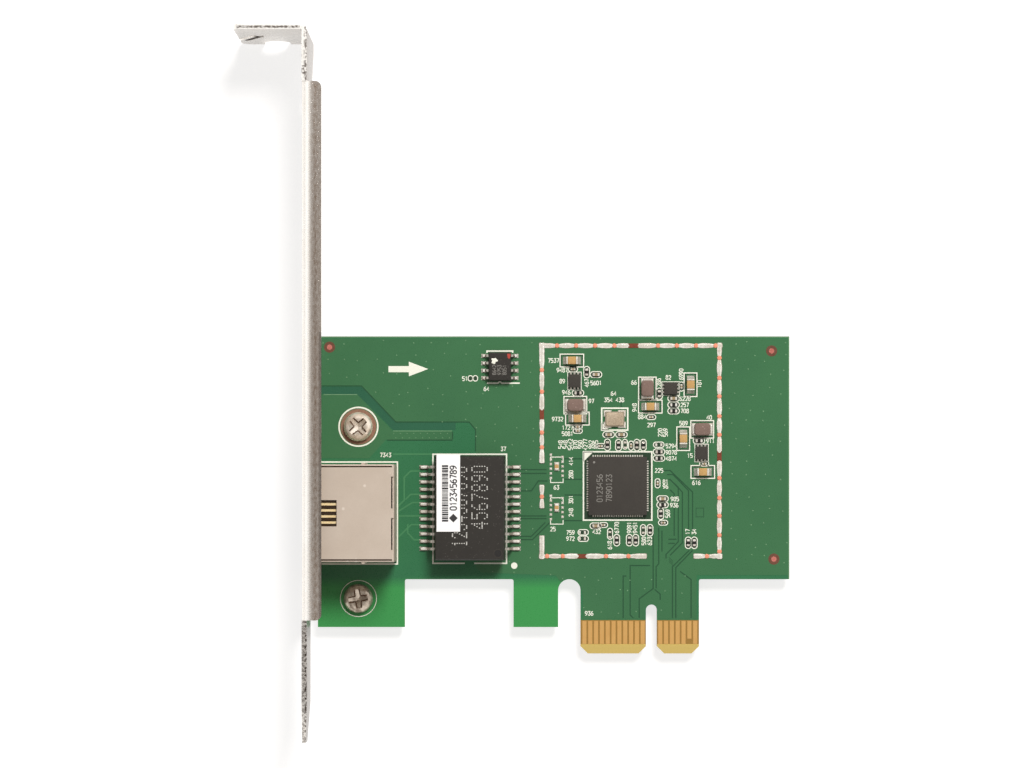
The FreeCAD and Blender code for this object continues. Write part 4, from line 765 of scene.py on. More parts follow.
def rectangle(x: float, y: float, width: float, height: float) -> np.ndarray:
    """Corners of a rectangle about its centre, counter-clockwise."""
    signs = np.array([(-1, -1), (1, -1), (1, 1), (-1, 1)])
    return np.array([x, y]) + signs * np.array([width, height]) / 2


def around(box: Box, growth: float | np.ndarray) -> np.ndarray:
    """Corners of a box seen from above, with its size grown."""
    return rectangle(*middle_of(box), *(size_of(box) + growth))


def rounded(x: float, y: float, width: float, height: float, radius: float, sides: int = 12) -> np.ndarray:
    """A rectangle with round corners: a circle whose four quarters are moved out to the corners.

    Args:
        x: Where its middle is.
        y: Where its middle is.
        width: Its size along x.
        height: Its size along y.
        radius: The corners' radius, held to half the lesser size.
        sides: How many points go round.

    Returns:
        The points, counter-clockwise.
    """
    radius = min(radius, width / 2, height / 2)
    turn = (np.arange(sides) + 0.5) * 2 * math.pi / sides
    ring = np.stack([np.cos(turn), np.sin(turn)], axis=1)
    return np.array([x, y]) + radius * ring + np.sign(ring) * (np.array([width, height]) / 2 - radius)


def capsule(x: float, y: float, width: float, height: float) -> np.ndarray:
    """An oval whose ends are half circles."""
    return rounded(x, y, width, height, max(width, height))


def signed_area(outline: np.ndarray) -> float:
    """The area inside an outline, above zero where it runs counter-clockwise."""
    following = np.roll(outline, -1, axis=0)
    return float((outline[:, 0] * following[:, 1] - outline[:, 1] * following[:, 0]).sum() / 2)


def shown(name: str, data: bpy.types.ID) -> bpy.types.Object:
    """Makes an object in the scene.

    Args:
        name: Its name.
        data: Its mesh, lamp or camera.

    Returns:
        The new object.
    """
    made = bpy.data.objects.new(name, data)
    bpy.context.scene.collection.objects.link(made)
    return made


def settle(mesh: bpy.types.Mesh) -> bpy.types.Object:
    """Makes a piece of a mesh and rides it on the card.

    Args:
        mesh: Its mesh, which has the piece's name.

    Returns:
        The new piece.
    """
    piece = shown(mesh.name, mesh)
    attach(piece, BODY)
    return piece


class Shell:
    """Closed surfaces gathered into one mesh, on a level that flat pieces stand on."""

    def __init__(self, level: float = FRONT, sink: float = 0.0) -> None:
        """Starts empty.

        Args:
            level: The height that flat pieces stand on.
            sink: How far they reach down past it.
        """
        self.level, self.sink = level, sink
        self.corners: list[np.ndarray] = []
        self.faces: list[list[int]] = []
        self.count = 0

    def grid(self, sections: np.ndarray, ring: bool = False) -> None:
        """Joins equal sections, each a closed loop of points, into one skin.

        Point k of section i is joined to point k of section i + 1, and the last to the first if the
        sections go round in a ring.  Otherwise the first and last sections become end faces.

        Args:
            sections: Points as an array of sections by points by 3.
            ring: Whether the last section meets the first.
        """
        length, around = sections.shape[:2]
        number = self.count + np.arange(length * around).reshape(length, around)
        following = np.roll(number, -1, axis=0) if ring else number[1:]
        current = number if ring else number[:-1]
        sides = [current, following, np.roll(following, -1, axis=1), np.roll(current, -1, axis=1)]
        self.faces += np.stack(sides, axis=-1).reshape(-1, 4).tolist()
        if not ring:
            self.faces += [number[0].tolist(), number[-1][::-1].tolist()]
        self.corners.append(sections.reshape(-1, 3))
        self.count += length * around

    def bar(self, path: Sequence[Point], width: float, rise: float, ring: bool = False) -> None:
        """Carries a rectangle along a line drawn on the level.

        At each point the two sides stand off along the mean of the neighbouring normals, by half the
        width divided by the cosine of half the bend, and by no more than twice that half width.

        Args:
            path: The line's points.
            width: How wide the bar is.
            rise: How far its top stands above the level.
            ring: Whether the line closes on itself.
        """
        line = np.asarray(path, float)
        ahead = np.diff(line, axis=0, append=line[:1]) if ring else np.diff(line, axis=0)
        ahead /= np.linalg.norm(ahead, axis=1, keepdims=True)
        normal = np.stack([-ahead[:, 1], ahead[:, 0]], axis=1)
        if ring:
            mean = normal + np.roll(normal, 1, axis=0)
        else:
            mean = np.vstack([normal[:1], normal]) + np.vstack([normal, normal[-1:]])
        shift = mean * width / np.maximum((mean ** 2).sum(axis=1, keepdims=True), 1.0)
        left, right = line + shift, line - shift
        low, high = self.level - self.sink, self.level + rise
        levels = [(left, low), (right, low), (right, high), (left, high)]
        sections = [np.column_stack([side, np.full(len(line), level)]) for side, level in levels]
        self.grid(np.stack(sections, axis=1), ring)

    def stack(self, outlines: Sequence[np.ndarray], heights: Sequence[float]) -> None:
        """Piles outlines of equal length at rising heights, with faces at the bottom and the top.

        Args:
            outlines: The outlines, from the bottom up.
            heights: Each outline's height in the card's frame.
        """
        levels = [np.column_stack([line, np.full(len(line), z)]) for line, z in zip(outlines, heights)]
        if signed_area(outlines[0]) > 0:
            levels = [level[::-1] for level in levels]
        self.grid(np.array(levels))

    def plate(self, outline: Sequence[Point], rise: float) -> None:
        """A flat plate with the outline given, whose top stands above the level by the rise."""
        self.stack([np.asarray(outline, float)] * 2, [self.level - self.sink, self.level + rise])

    def dome(self, box: Box, height: float, radius: float) -> None:
        """Raises a cushion of solder over a flat pad.

        The rings follow a quarter ellipse: inset by the pad's lesser size times one less the cosine,
        and raised by the height times the sine, up to 75 degrees.

        Args:
            box: The pad's box.
            height: The cushion's height above the pad's top.
            radius: The outline's corner radius.
        """
        size = size_of(box)
        outlines, levels = [], []
        for degrees in (0, 0, 30, 55, 75):
            inset = size.min() * (1 - math.cos(math.radians(degrees)))
            outlines.append(rounded(*middle_of(box), *(size - inset), radius))
            levels.append(box[1, 2] + height * math.sin(math.radians(degrees)))
        self.stack(outlines, [self.level] + levels[1:])

    def turned(self, x: float, y: float, profile: Sequence[Point], sides: int) -> None:
        """Turns a profile about an upright line.

        Args:
            x: Where the line stands.
            y: Where the line stands.
            profile: Radius, and height above the level, of each ring from the bottom up.
            sides: How many points go round.
        """
        outlines = [circle(x, y, radius, sides) for radius, _ in profile]
        self.stack(outlines, [self.level + rise for _, rise in profile])

    def bead(self, start: Point, end: Point, width: np.ndarray, height: np.ndarray) -> None:
        """Carries half an ellipse along a straight line, with a width and a height for each section.

        Point k of a section stands at an angle that runs from 0 to 180 degrees: across by the cosine
        times half the width, and up by the sine times the height.

        Args:
            start: The line's start.
            end: The line's end.
            width: Width of each section.
            height: How far each section stands up from the level.
        """
        ends = np.array([start, end], float)
        centre = ends[0] + np.linspace(0, 1, len(width))[:, None] * (ends[1] - ends[0])
        ahead = (ends[1] - ends[0]) / np.linalg.norm(ends[1] - ends[0])
        turn = np.linspace(0, math.pi, 9)
        reach = np.cos(turn)[None, :, None] * width[:, None, None] / 2
        flat = centre[:, None, :] + reach * np.array([ahead[1], -ahead[0]])
        up = self.level + np.sin(turn)[None, :] * height[:, None]
        self.grid(np.concatenate([flat, up[:, :, None]], axis=2))

    def number(
            self, text: str, place: Point, height: float, reading: "Reading", pen: float,
            rise: float) -> None:
        """Writes a number with a pen.

        Args:
            text: Its digits.
            place: Where its middle is.
            height: How tall a digit is.
            reading: Which way it reads.
            pen: How wide the pen is.
            rise: How far the ink's top stands above the level.
        """
        for line in number_lines(text, place, height, reading):
            self.bar(line, pen, rise)

    def stand(self, wall: float) -> None:
        """Turns what was drawn flat so that it stands on a wall facing -Y, its drawn y now upward."""
        self.corners = [np.column_stack([flat[:, 0], wall - flat[:, 2], flat[:, 1]]) for flat in self.corners]

    def build(self, name: str, finish: Finish, slot: str, smooth: bool = False) -> bpy.types.Object:
        """Makes the piece, and has it ride on the card.

        Args:
            name: The piece's name.
            finish: What it is finished with.
            slot: The record's material slot that it belongs to; not used.
            smooth: Whether its faces are shaded as one curved skin.

        Returns:
            The new object.
        """
        mesh = bpy.data.meshes.new(name)
        mesh.from_pydata(np.concatenate(self.corners) * MM, [], self.faces)
        mesh.polygons.foreach_set("use_smooth", np.full(len(mesh.polygons), smooth))
        mesh.materials.append(finish.material())
        return settle(mesh)


def dress(finish: Finish, *nodes: str) -> None:
    """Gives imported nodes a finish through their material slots."""
    for slot in (slot for node in nodes for slot in frame["nodes"][node].material_slots):
        slot.material = finish.material()


def softened(node: str, width: float, finish: Finish, sides: int = 2) -> None:
    """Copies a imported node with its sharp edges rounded, and stands in for it.

    The copy's loose triangles are merged and its flat regions made whole before the edges that bend
    by more than 30 degrees are rounded.

    Args:
        node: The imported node.
        width: How far the rounding reaches from an edge.
        finish: What the copy is finished with.
        sides: How many faces make the rounding.
    """
    mesh = bpy.data.meshes.new(node + "_rounded")
    shape = bmesh.new()
    shape.from_mesh(frame["nodes"][node].data)
    bmesh.ops.remove_doubles(shape, verts=shape.verts, dist=0.0005 * MM)
    bmesh.ops.dissolve_limit(shape, angle_limit=math.radians(1), verts=shape.verts, edges=shape.edges)
    sharp = [edge for edge in shape.edges if edge.is_manifold and edge.calc_face_angle() > math.radians(30)]
    bmesh.ops.bevel(
        shape, geom=sharp, offset=width * MM, segments=sides, profile=0.5, affect="EDGES", clamp_overlap=True)
    shape.to_mesh(mesh)
    shape.free()
    mesh.polygons.foreach_set("use_smooth", np.full(len(mesh.polygons), True))
    mesh.set_sharp_from_angle(angle=math.radians(40))
    mesh.materials.clear()
    mesh.materials.append(finish.material())
    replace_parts(settle(mesh), node)


# ======== plain numbers
class Reading(Enum):
    """Which way a number reads."""

    ACROSS = 0
    UPWARD = 90


# Each digit is drawn with a pen in a box one wide and two high.
STROKES: dict[str, list[list[Point]]] = {
    "0": [[(0.3, 0), (0, 0.4), (0, 1.6), (0.3, 2), (0.7, 2), (1, 1.6), (1, 0.4), (0.7, 0), (0.3, 0)]],
    "1": [[(0.2, 1.6), (0.55, 2), (0.55, 0)]],
    "2": [[(0, 1.6), (0.3, 2), (0.7, 2), (1, 1.6), (1, 1.2), (0, 0), (1, 0)]],
    "3": [[(0, 2), (1, 2), (0.5, 1.2), (1, 0.8), (1, 0.4), (0.7, 0), (0.3, 0), (0, 0.4)]],
    "4": [[(0.8, 0), (0.8, 2), (0, 0.7), (1, 0.7)]],
    "5": [[(1, 2), (0, 2), (0, 1.1), (0.7, 1.2), (1, 0.9), (1, 0.3), (0.7, 0), (0, 0)]],
    "6": [[(0.9, 2), (0.3, 1.7), (0, 1.1), (0, 0.3), (0.3, 0), (0.7, 0), (1, 0.3), (1, 0.8), (0.7, 1.1),
           (0, 0.9)]],
    "7": [[(0, 2), (1, 2), (0.4, 0)]],
    "8": [[(0.3, 1.1), (0, 1.5), (0.2, 2), (0.8, 2), (1, 1.5), (0.7, 1.1), (0.3, 1.1)],
          [(0.3, 1.1), (0, 0.7), (0, 0.3), (0.3, 0), (0.7, 0), (1, 0.3), (1, 0.7), (0.7, 1.1)]],
    "9": [[(0.1, 0), (0.7, 0.3), (1, 0.9), (1, 1.7), (0.7, 2), (0.3, 2), (0, 1.7), (0, 1.2), (0.3, 0.9),
           (1, 1.1)]],
}
# Each digit as seven rows of five dots, where a row's number has a bit for each dot.
DOT_ROWS: dict[str, Sequence[int]] = {
    "0": (14, 17, 17, 17, 17, 17, 14), "1": (4, 12, 4, 4, 4, 4, 14), "2": (14, 17, 1, 2, 4, 8, 31),
    "3": (14, 17, 1, 6, 1, 17, 14), "4": (2, 6, 10, 18, 31, 2, 2), "5": (31, 16, 30, 1, 1, 17, 14),
    "6": (6, 8, 16, 30, 17, 17, 14), "7": (31, 1, 2, 4, 4, 8, 8), "8": (14, 17, 17, 14, 17, 17, 14),
    "9": (14, 17, 17, 15, 1, 2, 12),
}


def turned_by(points: np.ndarray, reading: Reading, place: Point) -> np.ndarray:
    """Turns points about the origin to a reading direction, then moves them to their place.

    Args:
        points: The points.
        reading: The direction.
        place: Where the origin goes.

    Returns:
        The points at their place.
    """
    turn = math.radians(reading.value)
    matrix = np.array([[math.cos(turn), math.sin(turn)], [-math.sin(turn), math.cos(turn)]])
    return points @ matrix + np.array(place)


def number_lines(text: str, place: Point, height: float, reading: Reading) -> list[np.ndarray]:
    """Draws a number as pen lines.

    Args:
        text: Its digits.
        place: Where its middle is.
        height: How tall a digit is.
        reading: Which way it reads.

    Returns:
        The lines' points.
    """
    size = height / 2
    advance = 1.45 * size
    lines = []
    for index, digit in enumerate(text):
        start = (index - (len(text) - 1) / 2) * advance - size / 2
        for stroke in STROKES[digit]:
            points = np.array(stroke) * size + np.array([start, -size])
            lines.append(turned_by(points, reading, place))
    return lines


def number_dots(text: str, place: Point, pitch: Point, reading: Reading) -> np.ndarray:
    """Places the dots of a number printed by a dot printer.

    Args:
        text: Its digits.
        place: Where its middle is.
        pitch: Distance between dots along and across the line of print.
        reading: Which way it reads.

    Returns:
        One point for each dot.
    """
    dots = []
    for index, digit in enumerate(text):
        lit = (np.array(DOT_ROWS[digit])[:, None] >> np.arange(4, -1, -1)) & 1
        down, across = np.nonzero(lit)
        along = (index - (len(text) - 1) / 2) * 6.6 + across - 2
        dots.append(np.stack([along * pitch[0], (3 - down) * pitch[1]], axis=1))
    return turned_by(np.concatenate(dots), reading, place)


# ======== circuit board
# The dark channels round the tracks, as lines on the board.
GAP_ROUTES: list[list[Point]] = [
    [(1.15, 31.4), (3.2, 31.4), (7.05, 27.7), (7.05, 21.1)],
    [(2.7, 30.7), (3.7, 30.7), (6.36, 27.95), (6.36, 21.3)],
    [(2.9, 29.85), (3.2, 29.85), (5.3, 27.7), (5.3, 19.0), (3.2, 16.85)],
    [(3.9, 29.2), (4.6, 28.5), (4.6, 19.2), (2.5, 17.0), (2.5, 16.3)],
    [(3.2, 28.1), (3.9, 27.4), (3.9, 20.2)],
    [(1.8, 21.1), (1.8, 17.5)],
    [(1.25, 21.6), (1.25, 15.4), (0.8, 14.9), (0.8, 11.2)],
    [(0.29, 21.3), (0.29, 11.15), (-2.1, 9.4), (-2.1, 6.1)],
    [(0.55, 11.0), (1.5, 10.2), (1.5, 9.2)],
    [(-0.2, 15.1), (-3.65, 15.1), (-3.65, 6.6), (-3.1, 6.1)],
    [(-4.3, 13.3), (-4.85, 13.3), (-4.85, 6.1)],
    [(7.05, 17.7), (4.17, 14.75), (4.17, 6.1)],
    [(6.47, 17.7), (3.6, 14.9), (3.6, 6.1)],
    [(4.9, 14.1), (6.8, 12.7), (6.8, 6.1)],
    [(2.9, 19.6), (4.3, 19.6)], [(2.9, 18.9), (4.0, 18.9)],
    [(-22.7, 31.55), (-18.0, 31.55)], [(-22.7, 30.9), (-18.0, 30.9)],
    [(-22.7, 27.9), (-20.6, 27.9), (-19.4, 29.6), (-17.8, 29.6)],
    [(-22.7, 23.6), (-18.0, 23.6)], [(-22.7, 23.15), (-18.0, 23.15)],
    [(-22.5, 19.55), (-20.4, 19.55), (-17.4, 22.5)], [(-22.5, 20.1), (-20.6, 20.1), (-18.2, 22.5)],
    [(-14.9, 33.4), (-11.9, 33.4)], [(-14.9, 29.9), (-11.9, 29.9)], [(-14.9, 22.8), (-11.9, 22.8)],
    [(-14.9, 27.2), (-11.9, 27.2)], [(-5.2, 43.2), (-5.2, 42.3)],
]
# The open tracks, as lines on the board.
TRACK_ROUTES: list[list[Point]] = [
    [(-44.3, 34.2), (-37.6, 34.2)],
    [(-39.7, 31.3), (-41.3, 31.3), (-42.4, 30.2), (-42.4, 26.3), (-43.5, 25.2)],
    [(-39.7, 27.3), (-41.3, 27.3), (-42.2, 26.4)],
    [(-43.4, 23.6), (-37.6, 23.6)],
    [(-39.7, 19.5), (-40.7, 19.5), (-41.8, 20.7), (-41.8, 22.2)],
    [(-39.7, 25.9), (-41.0, 25.9), (-43.4, 24.4)],
    [(-39.7, 22.1), (-41.2, 22.1), (-43.4, 20.0)],
]


@dataclass
class CircuitBoard:
    """The board's mask, the copper under it, its tracks and vias, and the gold edge contacts."""

    copper: float = 0.03
    channel_rise: float = 0.012
    edge_rise: float = 0.04
    shade_width: float = 0.16
    light_width: float = 0.11
    stitch: Point = (0.08, 0.045)
    gap_top: float = 0.036
    gap_width: float = 0.2
    track_width: float = 0.26
    edge_inset: float = 0.42
    side_inset: float = 0.3
    shoulder: float = 13.45
    key_round: Place = (0.0, 7.45, 1.1)
    slot_round: Place = (-14.08, 10.8, 2.1)
    tongue_clear: Point = (0.1, 0.35)
    via_rises: Point = (0.04, 0.05)
    via_radius: float = 0.1
    via_pitch: float = 2.9
    via_shake: float = 0.3
    via_margin: float = 0.5
    via_seed: int = 7
    layer_step: float = 0.0004

    def build(self) -> None:
        """Dresses the board and lays the copper's forms on it."""
        dress(BARE_MASK, "circuit_board")
        dress(GOLD, "edge_contacts_front", "edge_contacts_back")
        self.left = box_mm("circuit_board")[0, 0] + self.side_inset
        self.pours()
        self.pour_edges()
        self.gaps()
        self.tracks()
        self.vias()

    def main_pour(self) -> np.ndarray:
        """Draws the large copper area, clear of the edges, the key notch and the hook slot.

        Returns:
            Its outline.
        """
        box, tongue = box_mm("circuit_board"), box_mm("edge_contacts_front")
        left, right, top = self.left, box[1, 0] - self.side_inset, box[1, 1] - self.edge_inset
        aside, above = self.tongue_clear
        tongue_left, tongue_right, high = tongue[0, 0] + aside, tongue[1, 0] - aside, tongue[1, 1] + above
        key = circle(*self.key_round, 16)[:9]
        slot = circle(*self.slot_round, 16)[:7]
        return np.vstack([
            [(left, 45.85), (-49.7, 45.85), (-43.8, 39.7), (-31.3, 39.7), (-30.1, 38.3), (-30.1, 14.8),
             (-29.2, 13.9), (-16.4, 13.4)],
            slot[::-1],
            [(tongue_left, 10.0), (tongue_left, high), (-1.1, high)],
            key[::-1],
            [(1.1, high), (tongue_right, high), (tongue_right, self.shoulder), (right, self.shoulder),
             (right, top), (left, top)],
        ])

    def pours(self) -> None:
        """Copper areas under the mask: the main one, the chassis one at the screw, and a bar."""
        left = self.left
        shell = Shell()
        chassis = [
            (left, 44.45), (-50.45, 44.45), (-44.35, 38.2), (-45.55, 36.65), (-48.4, 33.5), (left, 33.5)]
        strip = [(-44.35, 38.2), (-34.15, 38.2), (-34.15, 36.7), (-45.5, 36.7)]
        for outline in (self.main_pour(), chassis, strip):
            shell.plate(outline, self.copper)
        shell.build("copper_pours", COPPER_MASK, "solder_mask")
        channel = Shell()
        channel.plate([
            (left, 45.75), (-49.7, 45.75), (-43.85, 39.6), (-33.6, 39.6), (-33.6, 38.35), (-44.3, 38.35),
            (-50.45, 44.45), (left, 44.45),
        ], self.channel_rise)
        channel.build("parting_channel", CHANNEL_MASK, "solder_mask")

    def pour_edges(self) -> None:
        """Painted shade and painted highlights along the copper areas' edges, and the stitching vias of the
        bar.
        """
        shade = Shell()
        bend = [
            (self.left, 45.9), (-49.72, 45.9), (-43.82, 39.72), (-31.25, 39.72), (-30.17, 38.4),
            (-30.17, 34.7)]
        for path in (bend, [(-45.3, 36.62), (-34.1, 36.62)], [(-34.1, 36.8), (-34.1, 38.0)]):
            shade.bar(path, self.shade_width, self.edge_rise)
        shade.build("copper_edge_shade", GAP_AND_SHADE_MASK, "solder_mask")
        light = Shell()
        for path in ([(-56.2, 44.42), (-50.45, 44.42)], [(-44.3, 38.17), (-34.2, 38.17)]):
            light.bar(path, self.light_width, self.edge_rise)
        radius, rise = self.stitch
        for along in np.arange(-44.2, -35.0, 1.15):
            for x, y in ((along, 37.75), (along + 0.35, 37.0)):
                light.turned(x, y, [(radius, 0.0), (radius, rise)], 8)
        light.build("copper_edge_light", VIA_AND_HIGHLIGHT_MASK, "solder_mask")

    def gaps(self) -> None:
        """Dark channels that part the tracks from the copper round them."""
        shell = Shell()
        for count, route in enumerate(GAP_ROUTES):
            shell.bar(route, self.gap_width, self.gap_top + self.layer_step * count)
        shell.bar(rectangle(8.3, 24.2, 1.3, 1.5), self.gap_width / 2, self.gap_top, True)
        for y in (15.1, 14.75, 14.4):
            shell.bar([(3.0, y + 1.4), (3.7, y + 0.7)], self.gap_width / 2, self.gap_top)
        shell.build("track_gaps", GAP_AND_SHADE_MASK, "solder_mask")

    def tracks(self) -> None:
        """Tracks in the clear area between the jack and the magnetics module."""
        shell = Shell()
        for count, route in enumerate(TRACK_ROUTES):
            shell.bar(route, self.track_width, self.copper + self.layer_step * count)
        shell.build("open_tracks", TRACK_MASK, "solder_mask")

    def vias(self) -> None:
        """Mask-covered vias on a shaken grid, kept inside the copper and clear of every part."""
        shaker = np.random.default_rng(self.via_seed)
        outline = self.main_pour()
        low, high = outline.min(axis=0), outline.max(axis=0)
        steps = np.ceil((high - low) / self.via_pitch).astype(int)
        across, along = np.meshgrid(np.arange(steps[0]), np.arange(steps[1]), indexing="ij")
        places = low + (np.stack([across, along], axis=-1).reshape(-1, 2) + 0.5) * self.via_pitch
        places += shaker.uniform(-self.via_shake, self.via_shake, places.shape) * self.via_pitch
        places = places[inside(places, outline)]
        spread = ("circuit_board", "mounting_bracket", "edge_contacts_back", "jack_solder_joints")
        boxes = np.concatenate([solid_boxes(node) for node in frame["nodes"] if node not in spread])
        covered = ((places[:, None, :] > boxes[None, :, 0, :2] - self.via_margin)
                   & (places[:, None, :] < boxes[None, :, 1, :2] + self.via_margin)).all(axis=2).any(axis=1)
        radius, (low_rise, high_rise) = self.via_radius, self.via_rises
        shell = Shell()
        for x, y in places[~covered]:
            shell.turned(x, y, [(radius, 0.0), (radius, low_rise), (radius * 0.5, high_rise)], 8)
        shell.build("covered_vias", VIA_AND_HIGHLIGHT_MASK, "solder_mask")


def inside(points: np.ndarray, outline: np.ndarray) -> np.ndarray:
    """Tells which points lie inside an outline, by counting the sides that a ray to the right meets.

    Args:
        points: The points.
        outline: The outline's corners.

    Returns:
        True for each point inside.
    """
    start, end = outline[None], np.roll(outline, -1, axis=0)[None]
    x, y = points[:, None, 0], points[:, None, 1]
    spans = (start[..., 1] > y) != (end[..., 1] > y)
    rise = np.where(end[..., 1] == start[..., 1], 1.0, end[..., 1] - start[..., 1])
    crossing = start[..., 0] + (y - start[..., 1]) / rise * (end[..., 0] - start[..., 0])
    return (spans & (x < crossing)).sum(axis=1) % 2 == 1


# ======== printed legend
# Where each number's middle is, and how many digits it has.
NUMBER_PLACES: dict[Reading, list[tuple[float, float, int]]] = {
    Reading.ACROSS: [
        (-16.8, 50.25, 4), (-15.3, 48.6, 4), (-15.3, 46.7, 2), (-9.5, 46.4, 4), (-14.6, 44.8, 3),
        (-10.3, 43.3, 2), (-16.1, 40.2, 4), (-14.4, 38.75, 4), (-14.4, 37.7, 4), (-6.5, 44.6, 2),
        (-7.4, 43.5, 3), (-5.4, 43.5, 3), (-3.0, 46.5, 2), (2.9, 47.35, 2), (5.75, 43.7, 4),
        (5.7, 42.65, 3), (5.7, 41.6, 3), (-1.6, 40.6, 3), (0.0, 39.2, 3), (5.5, 39.5, 3),
        (9.9, 40.5, 2), (10.1, 36.45, 3), (6.6, 33.95, 2), (3.4, 35.6, 4), (3.4, 34.5, 4),
        (3.4, 33.45, 4), (1.3, 31.4, 3), (2.4, 29.45, 2), (2.4, 28.65, 2), (4.0, 26.5, 3),
        (3.9, 25.45, 3), (-9.4, 20.9, 3), (-13.9, 20.75, 3), (-13.9, 19.7, 3), (7.7, 29.3, 3),
        (-10.7, 6.9, 3), (-16.3, 28.5, 2), (-16.9, 21.35, 2), (-32.0, 47.15, 2), (-28.3, 45.4, 2),
        (-25.4, 35.1, 2), (-45.6, 34.05, 4),
    ],
    Reading.UPWARD: [
        (-11.1, 46.4, 3), (-2.9, 42.2, 3), (1.25, 46.5, 3), (5.1, 47.9, 4), (8.2, 46.3, 3),
        (1.5, 37.9, 3), (2.4, 37.9, 3), (-15.6, 35.85, 3), (-14.75, 35.85, 3), (-13.9, 35.85, 4),
        (-13.05, 35.85, 3), (-12.2, 35.85, 3), (-11.35, 35.85, 4), (-10.4, 35.85, 3),
        (-9.55, 35.85, 3), (-13.8, 33.0, 3), (-13.8, 30.7, 3), (-13.8, 26.4, 3), (-13.8, 24.2, 3),
        (2.8, 24.0, 3), (-7.15, 18.6, 3), (-5.95, 21.6, 4), (-3.8, 21.6, 4), (-2.8, 21.6, 4),
        (-1.3, 19.3, 3), (-0.3, 19.3, 3), (6.2, 20.9, 2), (7.3, 20.9, 2),
    ],
}


@dataclass
class Legend:
    """White ink on the board: outlines round the parts, the arrow and plain numbers."""

    line: float = 0.18
    broad: float = 0.25
    oval_line: float = 0.15
    fine: float = 0.12
    pen: float = 0.13
    top: float = 0.05
    open_rise: float = 0.034
    digit_height: float = 0.68
    number_seed: int = 4
    small_margin: Point = (0.5, 0.26)
    capacitor_margin: Point = (1.02, 0.42)
    inductor_margin: Point = (0.58, 0.42)
    power_margin: Point = (0.42, 0.16)
    crystal_margin: float = 0.58
    crystal_corner: float = 1.3
    controller_margin: float = 0.86
    chip_corner: float = 1.7
    chip_open: float = 1.5
    chip_open_rise: float = 0.036
    oval_trim: float = 0.2
    frame_trim: float = 0.3
    power_trim: float = 0.14
    jack_margins: Margins = (0.0, 0.08, 0.28, 0.2)
    module_margins: Margins = (0.32, 0.2, 0.55, 0.25)
    memory_margins: Margins = (0.25, 0.25, 0.3, 0.25)
    board_margin: float = 0.1
    module_opening: Point = (-32.0, -30.4)
    module_dot: Place = (-23.53, 15.08, 0.55)
    memory_hook: float = 0.3
    memory_notch: Point = (0.35, 0.3)
    memory_foot: float = 1.2
    screw_rings: tuple[Point, ...] = ((3.32, 0.26), (3.1, 0.12))
    header_sides: Point = (-17.3, -15.15)
    header_reach: float = 0.7
    header_line: float = 0.14

    def build(self) -> None:
        """Draws everything in ink, and dark rings and patches inside the ovals and frames."""
        self.ink = Shell()
        self.rings = Shell()
        self.small_outlines()
        self.part_outlines()
        self.arrow()
        self.large_frames()
        self.marks()
        self.numbers()
        self.ink.build("printed_legend", LEGEND_INK, "legend_ink")
        self.rings.build("open_mask_rings", DARK_MASK, "solder_mask")

    def trace(self, path: Sequence[Point], width: float, ring: bool = True) -> None:
        """Draws one line of ink."""
        self.ink.bar(path, width, self.top, ring)

    def oval(self, x: float, y: float, width: float, height: float) -> None:
        """Draws an oval of ink with a dark ring inside it."""
        self.trace(capsule(x, y, width, height), self.oval_line)
        self.rings.plate(capsule(x, y, width - self.oval_trim, height - self.oval_trim), self.open_rise)

    def growth(self, box: Box, margin: Point) -> np.ndarray:
        """How much a margin, given along a part and across it, adds to the size of the part's box."""
        width, height = size_of(box)
        return 2 * np.array(margin if width > height else margin[::-1])

    def small_outlines(self) -> None:
        """Ovals round the smallest two-ended parts, turned the way each part lies, and empty ones."""
        for bodies, ends in (("chip_resistors", "chip_resistor_ends"),
                             ("small_capacitors", "small_capacitor_ends"),
                             ("tiny_capacitors", "tiny_capacitor_ends")):
            for box in whole_boxes(bodies, ends):
                self.oval(*middle_of(box), *(size_of(box) + self.growth(box, self.small_margin)))
        for place in ((-11.7, 20.8, 1.8, 0.95), (-11.7, 19.7, 1.8, 0.95), (-7.1, 20.55, 0.9, 1.9),
                      (-1.44, 21.15, 0.9, 1.95), (-4.53, 35.9, 0.85, 1.7), (1.25, 35.81, 1.85, 0.95),
                      (-31.05, 47.2, 0.8, 0.95), (-30.2, 47.2, 0.8, 0.95)):
            self.oval(*place)

    def part_outlines(self) -> None:
        """Frames round the larger parts, each from its own box and a margin."""
        framed = [(node, self.capacitor_margin) for node in nodes_like("capacitor_", "_ends")]
        framed += [(node, self.inductor_margin) for node in nodes_like("inductor_", "_core")]
        for node, margin in framed:
            box, growth = box_mm(node), self.growth(box_mm(node), margin)
            self.trace(around(box, growth), self.line)
            self.rings.bar(around(box, growth - self.frame_trim), self.oval_trim, self.open_rise, True)
        for node in ("power_chip_input", "power_chip_upper", "power_chip_output"):
            box, growth = box_mm(node), self.growth(box_mm(node), self.power_margin)
            self.trace(around(box, growth), self.fine)
            self.rings.plate(around(box, growth - self.power_trim), self.open_rise)
        crystal, chip = box_mm("crystal_base"), box_mm("controller_chip")
        for box, margin in ((crystal, self.crystal_margin), (chip, self.controller_margin)):
            self.trace(around(box, 2 * margin), self.broad)
        self.rings.plate(around(chip, self.chip_open), self.chip_open_rise)
        corner = np.array([chip[0, 0] - self.controller_margin, chip[1, 1] + self.controller_margin])
        self.ink.plate([corner, corner + (0, -self.chip_corner), corner + (self.chip_corner, 0)], self.top)
        corner = crystal[0, :2] - self.crystal_margin
        reach = self.crystal_corner
        self.ink.plate([corner, corner + (reach, 0), corner + (0, reach)], self.top)

    def arrow(self) -> None:
        """The solid arrow beside the jack."""
        self.ink.plate([
            (-45.1, 49.3), (-45.1, 48.25), (-41.6, 48.25), (-41.6, 47.55), (-38.3, 48.8), (-41.6, 50.05),
            (-41.6, 49.3)], self.top)

